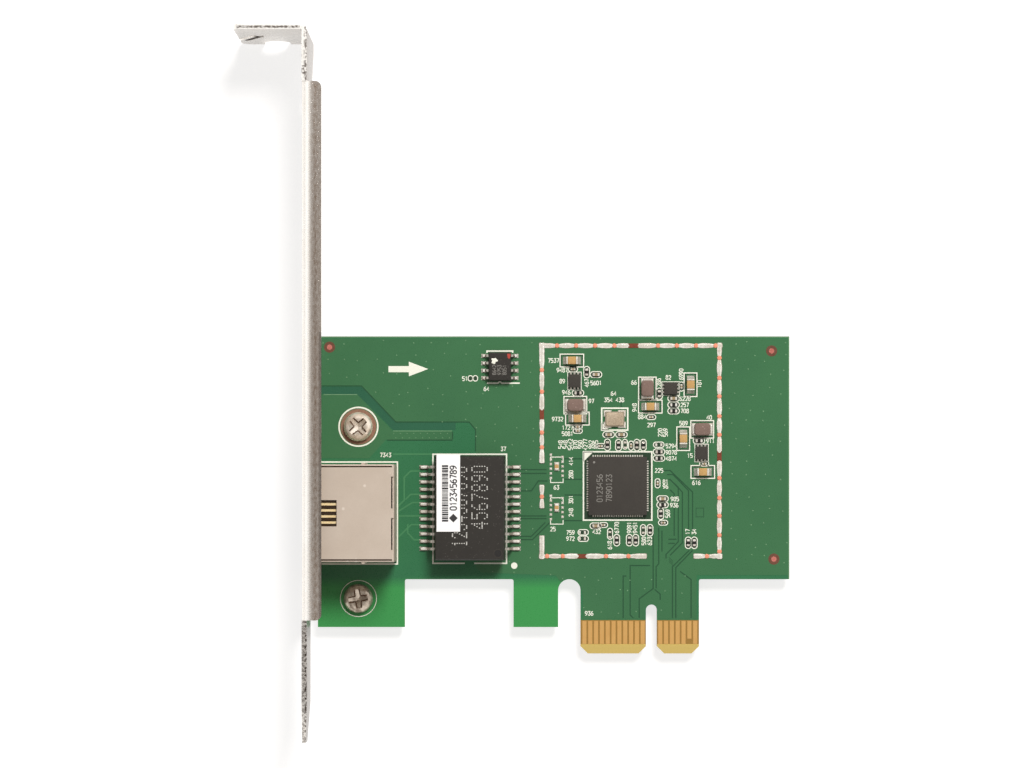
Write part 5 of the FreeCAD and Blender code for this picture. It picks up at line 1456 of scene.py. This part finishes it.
    def large_frames(self) -> None:
        """Open frames round the jack, the magnetics module and the memory chip."""
        _, right, low, high = self.sides("jack_shield", self.jack_margins)
        left = box_mm("circuit_board")[0, 0] + self.board_margin
        frames = [[(left, high), (right, high), (right, low), (left, low)]]
        left, right, low, high = self.sides("transformer_body", self.module_margins)
        start, end = self.module_opening
        frames.append([(end, low), (right, low), (right, high), (left, high), (left, low), (start, low)])
        left, right, low, high = self.sides("memory_chip", self.memory_margins)
        hook = high - self.memory_hook
        frames.append([(left, hook), (left, high), (right, high), (right, hook)])
        middle, (half, depth) = (left + right) / 2, self.memory_notch
        frames.append([
            (left, low), (middle - half, low), (middle, low + depth), (middle + half, low),
            (right + self.memory_foot, low)])
        for path in frames:
            self.trace(path, self.broad, False)

    def sides(self, node: str, margins: Margins) -> Margins:
        """Finds where the sides of a part's frame lie.

        Args:
            node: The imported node.
            margins: How far the frame stands off to the left, to the right, below and above.

        Returns:
            The frame's left, right, low and high sides.
        """
        low, high = box_mm(node)
        left, right, below, above = margins
        return low[0] - left, high[0] + right, low[1] - below, high[1] + above

    def marks(self) -> None:
        """The rings of the screws, a dot, and the brackets of two headers not fitted."""
        for node, (radius, width) in zip(("bracket_screw_upper", "bracket_screw_lower"), self.screw_rings):
            self.trace(circle(*middle_of(box_mm(node)), radius, 56), width)
        self.ink.plate(circle(*self.module_dot, 20), self.top)
        left, right = self.header_sides
        for low, high in ((29.33, 33.7), (22.2, 26.71)):
            for y, inward in ((low, low + self.header_reach), (high, high - self.header_reach)):
                self.trace([(left, inward), (left, y), (right, y), (right, inward)], self.header_line, False)

    def numbers(self) -> None:
        """Plain numbers beside the parts, each with as many digits as its place has room for."""
        chooser = np.random.default_rng(self.number_seed)
        for reading, placed in NUMBER_PLACES.items():
            for x, y, digits in placed:
                text = str(chooser.integers(10 ** (digits - 1), 10 ** digits))
                self.ink.number(text, (x, y), self.digit_height, reading, self.pen, self.top)


# ======== tinned fence
@dataclass(frozen=True)
class Swell:
    """How a bead's width or its height changes along it.

    The mean, the pinch at a copper spot and the wave are shares of the full size, and the size found
    is held between the least and the full one.
    """

    full: float
    mean: float
    pinch: float
    wave: float
    least: float

    def along(self, near: np.ndarray, wave: np.ndarray) -> np.ndarray:
        """Works out the size of each section.

        Args:
            near: How near a copper spot each section is, up to one.
            wave: A random wave along the bead.

        Returns:
            The sizes, held between the least and the full one.
        """
        share = self.mean - self.pinch * near + self.wave * wave
        return np.clip(self.full * share, self.least, self.full)


@dataclass
class GroundFence:
    """Solder beads on the tinned strips, with the copper of the vias showing through."""

    width: Swell = Swell(1.0, 0.96, 0.42, 0.08, 0.4)
    height: Swell = Swell(0.24, 0.9, 0.6, 0.15, 0.04)
    pitch: float = 0.25
    pinch_reach: float = 0.8
    dot_radius: float = 0.4
    dot_crown: float = 0.02
    oval: Point = (1.8, 0.74)
    oval_corner: float = 0.12
    seed: int = 3

    def build(self) -> None:
        """Lays the beads, then the round and the long copper spots."""
        low, high = box_mm("fence_solder_strips")
        half = self.width.full / 2
        top, bottom = high[1] - half, low[1] + half
        left, right = low[0] + half, high[0] - half
        spots = [(x, top) for x in (-16.2, -12.93, -9.66, -6.36, 1.13, 4.36, 7.65, 11.0)]
        spots += [(left, y) for y in (48.6, 44.9, 37.9, 35.35, 26.9)]
        spots += [(x, bottom) for x in (-17.9, -15.2, -7.8, -3.95, 9.5)]
        spots += [(right, y) for y in (50.7, 47.26, 44.1, 40.7, 37.5, 30.1, 26.7, 23.6, 20.3, 17.5)]
        ovals = [(-3.1, top, True), (left, 41.05, False), (-11.9, bottom, True), (right, 33.9, False)]
        self.spots = np.array(spots + [(x, y) for x, y, _ in ovals])
        self.shaker = np.random.default_rng(self.seed)
        beads = Shell()
        for start, end in (
                ((low[0], top), (high[0], top)), ((right, high[1]), (right, low[1])),
                ((left, high[1]), (left, 32.65)), ((left, 28.95), (left, 24.9)),
                ((left, 20.25), (left, low[1])), ((low[0], bottom), (-0.8, bottom)),
                ((7.2, bottom), (high[0], bottom))):
            self.bead(beads, start, end)
        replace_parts(beads.build("fence_beads", SOLDER, "solder", smooth=True), "fence_solder_strips")
        dots, long_spots = Shell(high[2]), Shell()
        radius, rise = self.dot_radius, self.dot_crown
        for x, y in spots:
            dots.turned(x, y, [(radius, FRONT - high[2]), (radius, -rise), (radius * 0.6, rise)], 16)
        dots.build("fence_copper_dots", RAW_COPPER, "bare_copper", smooth=True)
        for x, y, lying in ovals:
            outline = rounded(x, y, *(self.oval if lying else self.oval[::-1]), self.oval_corner)
            long_spots.stack([outline, outline], [FRONT, high[2] + rise])
        long_spots.build("fence_copper_ovals", DULL_COPPER, "bare_copper")

    def bead(self, beads: Shell, start: Point, end: Point) -> None:
        """Lays one bead, narrower beside each copper spot and a little uneven between.

        Each spot draws the bead in by a bell curve of the distance to it, and a smoothed random wave
        is added to the width and the height.

        Args:
            beads: Where the bead is added.
            start: The bead's start.
            end: The bead's end.
        """
        count = max(int(math.dist(start, end) / self.pitch), 3)
        line = np.array(start) + np.linspace(0, 1, count)[:, None] * (np.array(end) - np.array(start))
        gap = np.linalg.norm(line[:, None] - self.spots[None], axis=2).min(axis=1)
        near = np.exp(-(gap / self.pinch_reach) ** 2)
        wave = np.convolve(self.shaker.normal(0, 1, count), np.ones(5) / 5, "same")
        beads.bead(start, end, self.width.along(near, wave), self.height.along(near, wave))


# ======== bracket and its screws
@dataclass
class MountingBracket:
    """The folded bracket, its two screws, and the rings that they sit in."""

    edge_round: float = 0.2
    head_radius: float = 2.5
    head_height: float = 1.85
    rim_height: float = 0.5
    shank_inset: float = 1.1
    recess_depth: float = 1.1
    recess_reach: float = 1.65
    recess_half: float = 0.6
    recess_wall: float = 0.18
    recess_taper: float = 0.14
    recess_power: float = 0.7
    crown_power: float = 3.4
    crown_fall: float = 0.985
    aiming_dot: float = 0.46
    aiming_ring: Point = (0.7, 0.5)
    ring: Point = (2.4, 3.07)
    slit_start: Point = (-69.6, 2.86)
    slit_end: Point = (-66.8, 7.8)
    slit_width: float = 0.95
    slit_sink: float = 0.02
    lip_rise: float = 0.14
    tab_underside: float = 104.89

    def build(self) -> None:
        """Rounds the sheet's edges and makes the screws, the slit and the rings on the board."""
        softened("mounting_bracket", self.edge_round, PLATED_SHEET, 3)
        self.screw("bracket_screw_upper", 42.0, SCREW_STEEL_PAINTED_REFLECTIONS)
        self.screw("bracket_screw_lower", 8.0, DARK_SCREW_STEEL_PAINTED_REFLECTIONS)
        self.slit()
        pad, spots, rings = Shell(), Shell(), Shell()
        inner, outer = self.ring
        ring_radius, ring_width = self.aiming_ring
        middle = circle(*middle_of(box_mm("bracket_screw_upper")), (inner + outer) / 2, 48)
        pad.bar(middle, outer - inner, 0.05, True)
        pad.build("screw_pad_ring", FLUX_RING, "bare_copper")
        for x, y in ((-55.2, 52.55), (20.6, 51.9), (21.0, 16.2)):
            spots.turned(x, y, [(self.aiming_dot, 0.0), (self.aiming_dot, 0.05), (0.3, 0.06)], 20)
            rings.bar(circle(x, y, ring_radius, 28), ring_width, 0.045, True)
        spots.build("aiming_dots", AIMING_COPPER, "bare_copper")
        rings.build("aiming_rings", OPEN_RING, "solder_mask")

    def slit(self) -> None:
        """The short slit sheared in the tab's lower face: a bar of painted shade for the cut, between two
        raised lips.
        """
        start, end = np.array(self.slit_start), np.array(self.slit_end)
        aside = np.array([start[1] - end[1], end[0] - start[0]]) / math.dist(start, end)
        cut, lips = Shell(0.0, self.slit_sink), Shell(0.0, self.slit_sink)
        # The cut is a bar of painted shade.
        cut.bar([start, end], self.slit_width, self.slit_sink)
        for side in (-1, 1):
            shift = side * aside * self.slit_width * 0.7
            lips.bar([start + shift, end + shift * 1.1], self.slit_width * 0.4, self.lip_rise)
        for shell, name, finish in ((cut, "tab_slit", SEAM_SHADE), (lips, "tab_slit_lips", PLATED_SHEET)):
            shell.stand(self.tab_underside)
            shell.build(name, finish, "bracket_plating")

    def screw(self, node: str, turn: float, finish: Finish) -> None:
        """Makes a pan-head screw with a cross recess, on rings of points about its axis.

        The crown falls from the middle to the rim by the square root of one less a power of the
        radius.  The recess is a ramp that falls from each wing's end to the middle, wherever a point
        lies nearer a wing's centre line than its half width.

        Args:
            node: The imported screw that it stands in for.
            turn: How far the cross is turned, in degrees.
            finish: The steel's finish.
        """
        box, sides = box_mm(node), 96
        x, y = middle_of(box)
        shank, tip = size_of(box)[0] / 2 - self.shank_inset, box[0, 2]
        radii = np.concatenate([[0.01], np.linspace(0.08, 1.9, 34), np.linspace(2.0, self.head_radius, 9)])
        angles = np.linspace(0, 2 * math.pi, sides, endpoint=False)
        radius, angle = np.meshgrid(radii, angles, indexing="ij")
        share = np.clip(radius / self.head_radius, 0, 1)
        crown = self.rim_height + (self.head_height - self.rim_height) * np.sqrt(
            1 - self.crown_fall * share ** self.crown_power)
        folded = (angle - math.radians(turn) + math.pi / 4) % (math.pi / 2) - math.pi / 4
        along, aside = radius * np.cos(folded), np.abs(radius * np.sin(folded))
        ramp = self.recess_depth * np.clip(1 - along / self.recess_reach, 0, 1) ** self.recess_power
        half = self.recess_half * (1 - self.recess_taper * along)
        wall = np.clip((half - aside) / self.recess_wall, 0, 1)
        height = FRONT + crown - ramp * wall ** 2 * (3 - 2 * wall)
        head = np.stack([x + radius * np.cos(angle), y + radius * np.sin(angle), height], axis=-1)
        below = [(self.head_radius, FRONT + 0.02), (shank, FRONT), (shank, tip + 0.3), (shank - 0.35, tip)]
        foot = [
            np.column_stack([circle(x, y, reach, sides), np.full(sides, level)]) for reach, level in below]
        shell = Shell()
        shell.grid(np.concatenate([head, foot]))
        piece = shell.build(node + "_head", finish, "screw_steel", smooth=True)
        # The recess's sloping walls take a second material of painted shade.
        piece.data.materials.append(RECESS_SHADE.material())
        sloping = ((wall > 0.02) & (wall < 0.98) & (ramp > 0.12))[:-1]
        marked = np.zeros(len(piece.data.polygons), int)
        marked[:sloping.size] = (sloping | np.roll(sloping, -1, axis=1)).reshape(-1)
        piece.data.polygons.foreach_set("material_index", marked)
        piece.data.set_sharp_from_angle(angle=math.radians(50))
        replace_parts(piece, node)


# ======== network jack
@dataclass
class NetworkJack:
    """The shielded jack."""

    groove_inset: float = 0.68
    groove_ends: Point = (0.3, 0.35)
    groove_width: float = 0.24
    groove_sink: float = 0.16
    groove_rise: float = 0.004

    def build(self) -> None:
        """Dresses the shield, the moulded insert, the contacts and the solder, and paints shade in the seams.
        """
        dress(SHIELD_TIN, "jack_shield")
        dress(HOUSING_PLASTIC, "jack_housing")
        dress(CONTACT_GOLD, "jack_contacts")
        dress(SOLDER, "jack_solder_joints")
        low, high = box_mm("jack_shield")
        start, end = low[0] + self.groove_ends[0], high[0] - self.groove_ends[1]
        # Bars of painted shade lie in the seams' grooves.
        shell = Shell(high[2], self.groove_sink)
        for y in (low[1] + self.groove_inset, high[1] - self.groove_inset):
            shell.bar([(start, y), (end, y)], self.groove_width, self.groove_rise)
        shell.build("jack_seams", SEAM_SHADE, "shield_tin")


def solder_beads(
        name: str, nodes: Sequence[str], body: str, height: float, reach: Point,
        margin: float = 0.14, depth: float = 0.12, radius: float = 0.35) -> None:
    """Lays a rounded bead of solder across the foot of each lead.

    Args:
        name: The piece's name.
        nodes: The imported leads, which lie along the card.
        body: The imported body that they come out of.
        height: How far a bead stands above the foot.
        reach: Where it starts and ends, from the lead's outer end.
        margin: How far it reaches past the lead on each side.
        depth: How thick the foot is.
        radius: The bead's corner radius.
    """
    shell = Shell()
    middle = middle_of(box_mm(body))[0]
    for low, high in np.concatenate([solid_boxes(node) for node in nodes]):
        tip, inward = (low[0], 1) if (low[0] + high[0]) / 2 < middle else (high[0], -1)
        start, end = sorted(tip + inward * share for share in reach)
        foot = np.array([(start, low[1] - margin, low[2]), (end, high[1] + margin, low[2] + depth)])
        shell.dome(foot, height, radius)
    shell.build(name, SOLDER, "solder", smooth=True)


# ======== magnetics module
@dataclass
class MagneticsModule:
    """The moulded module between jack and controller, with its label and dot print."""

    edge_round: float = 0.22
    ink_sink: float = 0.01
    ink_rise: float = 0.012
    dot: Point = (0.2, 0.15)
    large_pitch: Point = (0.24, 0.43)
    small_pitch: Point = (0.21, 0.4)
    dimple: Point = (-26.3, 17.28)
    dimple_radius: float = 0.6
    bar_widths: tuple[float, ...] = (0.12, 0.2, 0.32)
    bar_gap: float = 0.1
    bar_length: float = 1.05
    bar_column: float = 1.45
    bar_ends: Point = (1.6, 1.8)
    bar_count: int = 36
    bar_seed: int = 5
    print_inset: float = 4.35
    print_shifts: Point = (1.85, 0.25)
    digit_column: float = 2.85
    digit_shift: float = 0.85
    digit_height: float = 1.06
    digit_pen: float = 0.2
    diamond: Point = (2.3, 0.74)

    def build(self) -> None:
        """Dresses body, leads and label, then prints on both."""
        softened("transformer_body", self.edge_round, MOULD_COMPOUND, 3)
        leads = ["transformer_leads_left", "transformer_leads_right"]
        dress(LEAD_TIN, *leads)
        solder_beads("module_solder", leads, "transformer_body", 0.42, (-0.1, 1.42))
        dress(LABEL_PAPER, "transformer_label")
        self.body_print()
        self.label_print()

    def body_print(self) -> None:
        """Plain digits as dots of ink on the body's top, and painted shade in its moulded dimple."""
        low, high = box_mm("transformer_body")
        top, middle = high[2], (low[1] + high[1]) / 2
        shell = Shell(top, self.ink_sink)
        lines = (("4567890", high[0] - self.print_inset, self.large_pitch),
                 ("1234567890", low[0] + self.print_inset, self.small_pitch))
        for (text, x, pitch), shift in zip(lines, self.print_shifts):
            for dot in number_dots(text, (x, middle + shift), pitch, Reading.UPWARD):
                shell.plate(rectangle(*dot, *self.dot), self.ink_rise)
        shell.build("module_print", PACKAGE_INK, "legend_ink")
        dimple, lip = Shell(top), Shell(top, self.ink_sink)
        dimple.turned(*self.dimple, [(self.dimple_radius, -0.1), (self.dimple_radius, 0.005)], 24)
        dimple.build("module_dimple", DIMPLE_SHADE, "mould_compound")
        lip.bar(circle(*self.dimple, self.dimple_radius + 0.08, 32), 0.12, 0.015, True)
        lip.build("module_dimple_lip", CHIP_COMPOUND, "mould_compound")

    def label_print(self) -> None:
        """A bar pattern, a line of plain digits and a dark diamond."""
        low, high = box_mm("transformer_label")
        shell = Shell(high[2], self.ink_sink)
        widths = np.random.default_rng(self.bar_seed).choice(self.bar_widths, self.bar_count)
        places = low[1] + self.bar_ends[0] + np.cumsum(widths + self.bar_gap)
        column = low[0] + self.bar_column
        for y, width in zip(places, widths):
            if y < high[1] - self.bar_ends[1]:
                shell.plate(rectangle(column, y - width / 2, self.bar_length, width), self.ink_rise)
        column, middle = low[0] + self.digit_column, (low[1] + high[1]) / 2 + self.digit_shift
        shell.number(
            "0123456789", (column, middle), self.digit_height, Reading.UPWARD, self.digit_pen, self.ink_rise)
        shell.plate(circle(column, low[1] + self.diamond[0], self.diamond[1], 4), self.ink_rise)
        shell.build("label_print", LABEL_INK, "legend_ink")


# ======== chips and small parts
@dataclass
class SmallParts:
    """The controller, the memory chip, the crystal, the power parts and all two-ended parts."""

    dome_height: float = 0.16
    small_dome_height: float = 0.096
    dome_radius: float = 0.3
    small_pad: float = 0.55
    ink_sink: float = 0.01
    ink_rise: float = 0.008
    paint_rise: float = 0.02
    bridge_places: tuple[Point, ...] = ((-16.25, 32.1), (-16.25, 25.05))
    bridge_body: Place = (0.66, 0.62, 0.06)
    bridge_body_rises: Point = (0.06, 0.46)
    bridge_end: Place = (0.7, 0.34, 0.08)
    bridge_end_shift: float = 0.46
    bridge_end_rises: Place = (0.06, 0.44, 0.5)
    bridge_end_trim: float = 0.1

    def build(self) -> None:
        """Dresses each kind, rounding the ones large enough to show it."""
        self.controller()
        self.memory()
        self.bridging_parts()
        self.solder_domes()
        softened("crystal_lid", 0.18, CRYSTAL_METAL)
        dress(CRYSTAL_CERAMIC, "crystal_base")
        for node in nodes_like("inductor_", "_core"):
            softened(node, 0.3, FERRITE, 3)
        for node in ("power_chip_input", "power_chip_output", "power_chip_upper"):
            softened(node, 0.05, CHIP_COMPOUND)
        dress(LEAD_TIN, *nodes_like("power_chip_", "_contacts"))
        for node in nodes_like("capacitor_", "_body"):
            softened(node, 0.08, CAPACITOR_CERAMIC)
        for node in nodes_like("capacitor_", "_ends"):
            softened(node, 0.12, SOLDER)
        dress(RESISTOR_FILM, "chip_resistors")
        dress(SMALL_CERAMIC, "small_capacitors", "tiny_capacitors")
        dress(SOLDER, "chip_resistor_ends", "small_capacitor_ends", "tiny_capacitor_ends", "solder_lands",
              "solder_fillets", *nodes_like("inductor_", "_terminals"))

    def bridging_parts(self) -> None:
        """The two small amber parts that sit on the middle lands of the unused connectors."""
        bodies, ends = Shell(), Shell()
        width, length, radius = self.bridge_end
        for x, y in self.bridge_places:
            outline = rounded(x, y, *self.bridge_body)
            bodies.stack([outline, outline], [FRONT + rise for rise in self.bridge_body_rises])
            for shift in (-self.bridge_end_shift, self.bridge_end_shift):
                outlines = [
                    rounded(x, y + shift, width - trim, length - trim, radius)
                    for trim in (0.0, 0.0, self.bridge_end_trim)]
                ends.stack(outlines, [FRONT + rise for rise in self.bridge_end_rises])
        bodies.build("connector_part_bodies", CAPACITOR_CERAMIC, "capacitor_ceramic")
        ends.build("connector_part_ends", SOLDER, "solder", smooth=True)

    def solder_domes(self) -> None:
        """Raises the solder on every flat pad, less on the small ones."""
        shell = Shell()
        for box in solid_boxes("solder_lands"):
            small = min(size_of(box)) <= self.small_pad
            shell.dome(box, self.small_dome_height if small else self.dome_height, self.dome_radius)
        shell.build("solder_domes", SOLDER, "solder", smooth=True)

    def controller(self) -> None:
        """The large flat chip, with plain faint digits and a dot at contact one."""
        softened("controller_chip", 0.06, CHIP_COMPOUND)
        dress(SOLDER, "controller_chip_contacts")
        box = box_mm("controller_chip")
        low, high = box
        x, y = middle_of(box)
        shell = Shell(high[2], self.ink_sink)
        for text, column in (("0123456", -3.1), ("7890123", -1.5)):
            shell.number(text, (x + column, y - 0.4), 0.95, Reading.UPWARD, 0.12, self.ink_rise)
        shell.plate(circle(low[0] + 0.95, high[1] - 0.95, 0.2, 16), self.ink_rise)
        shell.build("controller_print", FAINT_INK, "legend_ink")

    def memory(self) -> None:
        """The eight-lead chip, with faint digits, a dab of white and a red dot."""
        softened("memory_chip", 0.1, MOULD_COMPOUND)
        dress(LEAD_TIN, "memory_chip_leads")
        solder_beads("memory_solder", ["memory_chip_leads"], "memory_chip", 0.32, (0.05, 0.62))
        low, high = box_mm("memory_chip")
        shell = Shell(high[2], self.ink_sink)
        for text, column in (("8642", 1.0), ("9753", 1.9), ("8051", 2.75)):
            place = (low[0] + column, low[1] + 1.9)
            shell.number(text, place, 0.6, Reading.UPWARD, 0.08, self.ink_rise)
        shell.build("memory_print", FAINT_INK, "legend_ink")
        self.white_dab(np.array([low[0] + 1.0, high[1] - 1.5]), high[2])
        red = Shell(high[2], self.ink_sink)
        sides = [(-0.58, -0.95), (-0.36, -1.2), (-0.14, -0.85), (-0.1, -0.26), (-0.72, -0.3)]
        red.plate([(high[0] + x, high[1] + y) for x, y in sides], self.paint_rise)
        red.build("red_dot", RED_PAINT, "legend_ink")

    def white_dab(self, centre: np.ndarray, top: float) -> None:
        """A dab of white paint, whose radius is a constant and three sines of the angle.

        Args:
            centre: Where it is.
            top: The height of the face that it lies on.
        """
        turn = np.linspace(0, 2 * math.pi, 40, endpoint=False)
        reach = 0.5 + 0.09 * np.sin(3 * turn + 0.9) + 0.07 * np.sin(5 * turn + 1.9) + 0.05 * np.sin(2 * turn)
        blob = np.stack([reach * np.cos(turn), reach * np.sin(turn)], axis=1)
        levels = ((1.0, -self.ink_sink), (1.0, self.paint_rise), (0.75, 0.05))
        white = Shell()
        white.stack([centre + share * blob for share, _ in levels], [top + lift for _, lift in levels])
        white.build("white_dab", LEGEND_INK, "legend_ink", smooth=True)


# ======== studio
@dataclass
class Studio:
    """A pale floor, soft light and the camera straight above the card."""

    camera_x: float = -22.86
    camera_y: float = 27.79
    camera_height: float = 560.0
    lens: float = 114.8
    sensor: float = 36.0
    shift: Point = (-0.006, 0.105)
    floor_size: float = 3000.0
    floor_colour: Place = (0.39, 0.375, 0.36)
    floor_glow: float = 0.75
    sky_fill: float = 0.42
    lamp_place: Place = (138.0, 425.0, 640.0)
    lamp_size: float = 260.0
    lamp_power: float = 6.0

    def build(self) -> None:
        """Makes the floor, the light and the camera."""
        self.floor()
        self.sky()
        self.lamp()
        self.camera()
        bpy.context.scene.view_settings.view_transform = "Standard"

    def camera(self) -> None:
        """The camera, which looks straight down."""
        data = bpy.data.cameras.new("camera")
        data.lens = self.lens
        data.sensor_width = self.sensor
        data.shift_x, data.shift_y = self.shift
        camera = shown("camera", data)
        camera.location = (self.camera_x * MM, self.camera_y * MM, (FRONT + self.camera_height) * MM)
        bpy.context.scene.camera = camera

    def floor(self) -> None:
        """The floor under the card's lowest point, bright to the eye and to reflections alone."""
        half = self.floor_size / 2
        ends = [(-half, -half), (half, -half), (half, half), (-half, half)]
        corners = [(x * MM, y * MM, CAD_BOX[0][2]) for x, y in ends]
        mesh = bpy.data.meshes.new("floor")
        mesh.from_pydata(corners, [], [(0, 1, 2, 3)])
        material = bpy.data.materials.new("pale_floor")
        material.use_nodes = True
        graph = Graph(material.node_tree)
        inputs = material.node_tree.nodes["Principled BSDF"].inputs
        path = graph.add("LightPath").outputs
        seen = graph.most(path["Is Camera Ray"], path["Is Glossy Ray"])
        seen = graph.most(seen, path["Is Transmission Ray"])
        for name, value in (
                ("Base Color", self.floor_colour + (1.0,)), ("Roughness", 1.0), ("Specular IOR Level", 0.0),
                ("Emission Color", (1.0,) * 4), ("Emission Strength", graph.times(seen, self.floor_glow))):
            graph.feed(inputs[name], value)
        mesh.materials.append(material)
        shown("floor", mesh)

    def sky(self) -> None:
        """Light from all sides by height: warm and dim straight above, brightest half way up.

        The eye sees it plain white, reflections see it in full, and it fills the shade by its share.
        """
        world = bpy.data.worlds.new("studio")
        bpy.context.scene.world = world
        world.use_nodes = True
        graph = Graph(world.node_tree)
        up = graph.split(graph.add("TexCoord").outputs["Generated"])[2]
        ramp = graph.add("ValToRGB", {0: up})
        stops = ramp.color_ramp.elements
        stops[0].position, stops[0].color = 0.0, (0.80, 0.78, 0.76, 1.0)
        stops[1].position, stops[1].color = 1.0, (0.30, 0.265, 0.235, 1.0)
        for position, level in ((0.4, 1.0), (0.76, 1.15), (0.87, 0.7), (0.93, 0.33)):
            stops.new(position).color = (level, level * 0.985, level * 0.965, 1.0)
        path = graph.add("LightPath").outputs
        seen = path["Is Camera Ray"]
        mirrored = graph.spread(path["Is Glossy Ray"], (0.0, 1.0), (self.sky_fill, 1.0))
        inputs = world.node_tree.nodes["Background"].inputs
        graph.feed(inputs["Color"], graph.mix(seen, ramp.outputs[0], (1.0,) * 4))
        graph.feed(inputs["Strength"], graph.most(mirrored, seen))

    def lamp(self) -> None:
        """One large soft lamp from the upper right, turned to the middle of the view."""
        data = bpy.data.lights.new("soft_lamp", "AREA")
        data.shape = "DISK"
        data.size = self.lamp_size * MM
        data.energy = self.lamp_power
        lamp = shown("soft_lamp", data)
        place = np.array(self.lamp_place)
        lamp.location = place * MM
        aim = np.array([self.camera_x, self.camera_y, 0.0]) - place
        lamp.rotation_euler = (
            math.acos(-aim[2] / np.linalg.norm(aim)), 0.0, math.atan2(-aim[0], aim[1]))
        lamp.visible_glossy = False


def main() -> None:
    """Builds the sub-assemblies in order, and reports each with its new pieces."""
    logging.basicConfig(level=logging.INFO, format="%(name)s: %(message)s")
    for assembly in (
            CircuitBoard(), Legend(), GroundFence(), MountingBracket(), NetworkJack(), MagneticsModule(),
            SmallParts(), Studio()):
        before = set(bpy.data.objects.keys())
        assembly.build()
        LOG.info("built %s", type(assembly).__name__)
        for name in sorted(set(bpy.data.objects.keys()) - before):
            LOG.info("made %s", name)


if __name__ == "__main__":
    main()
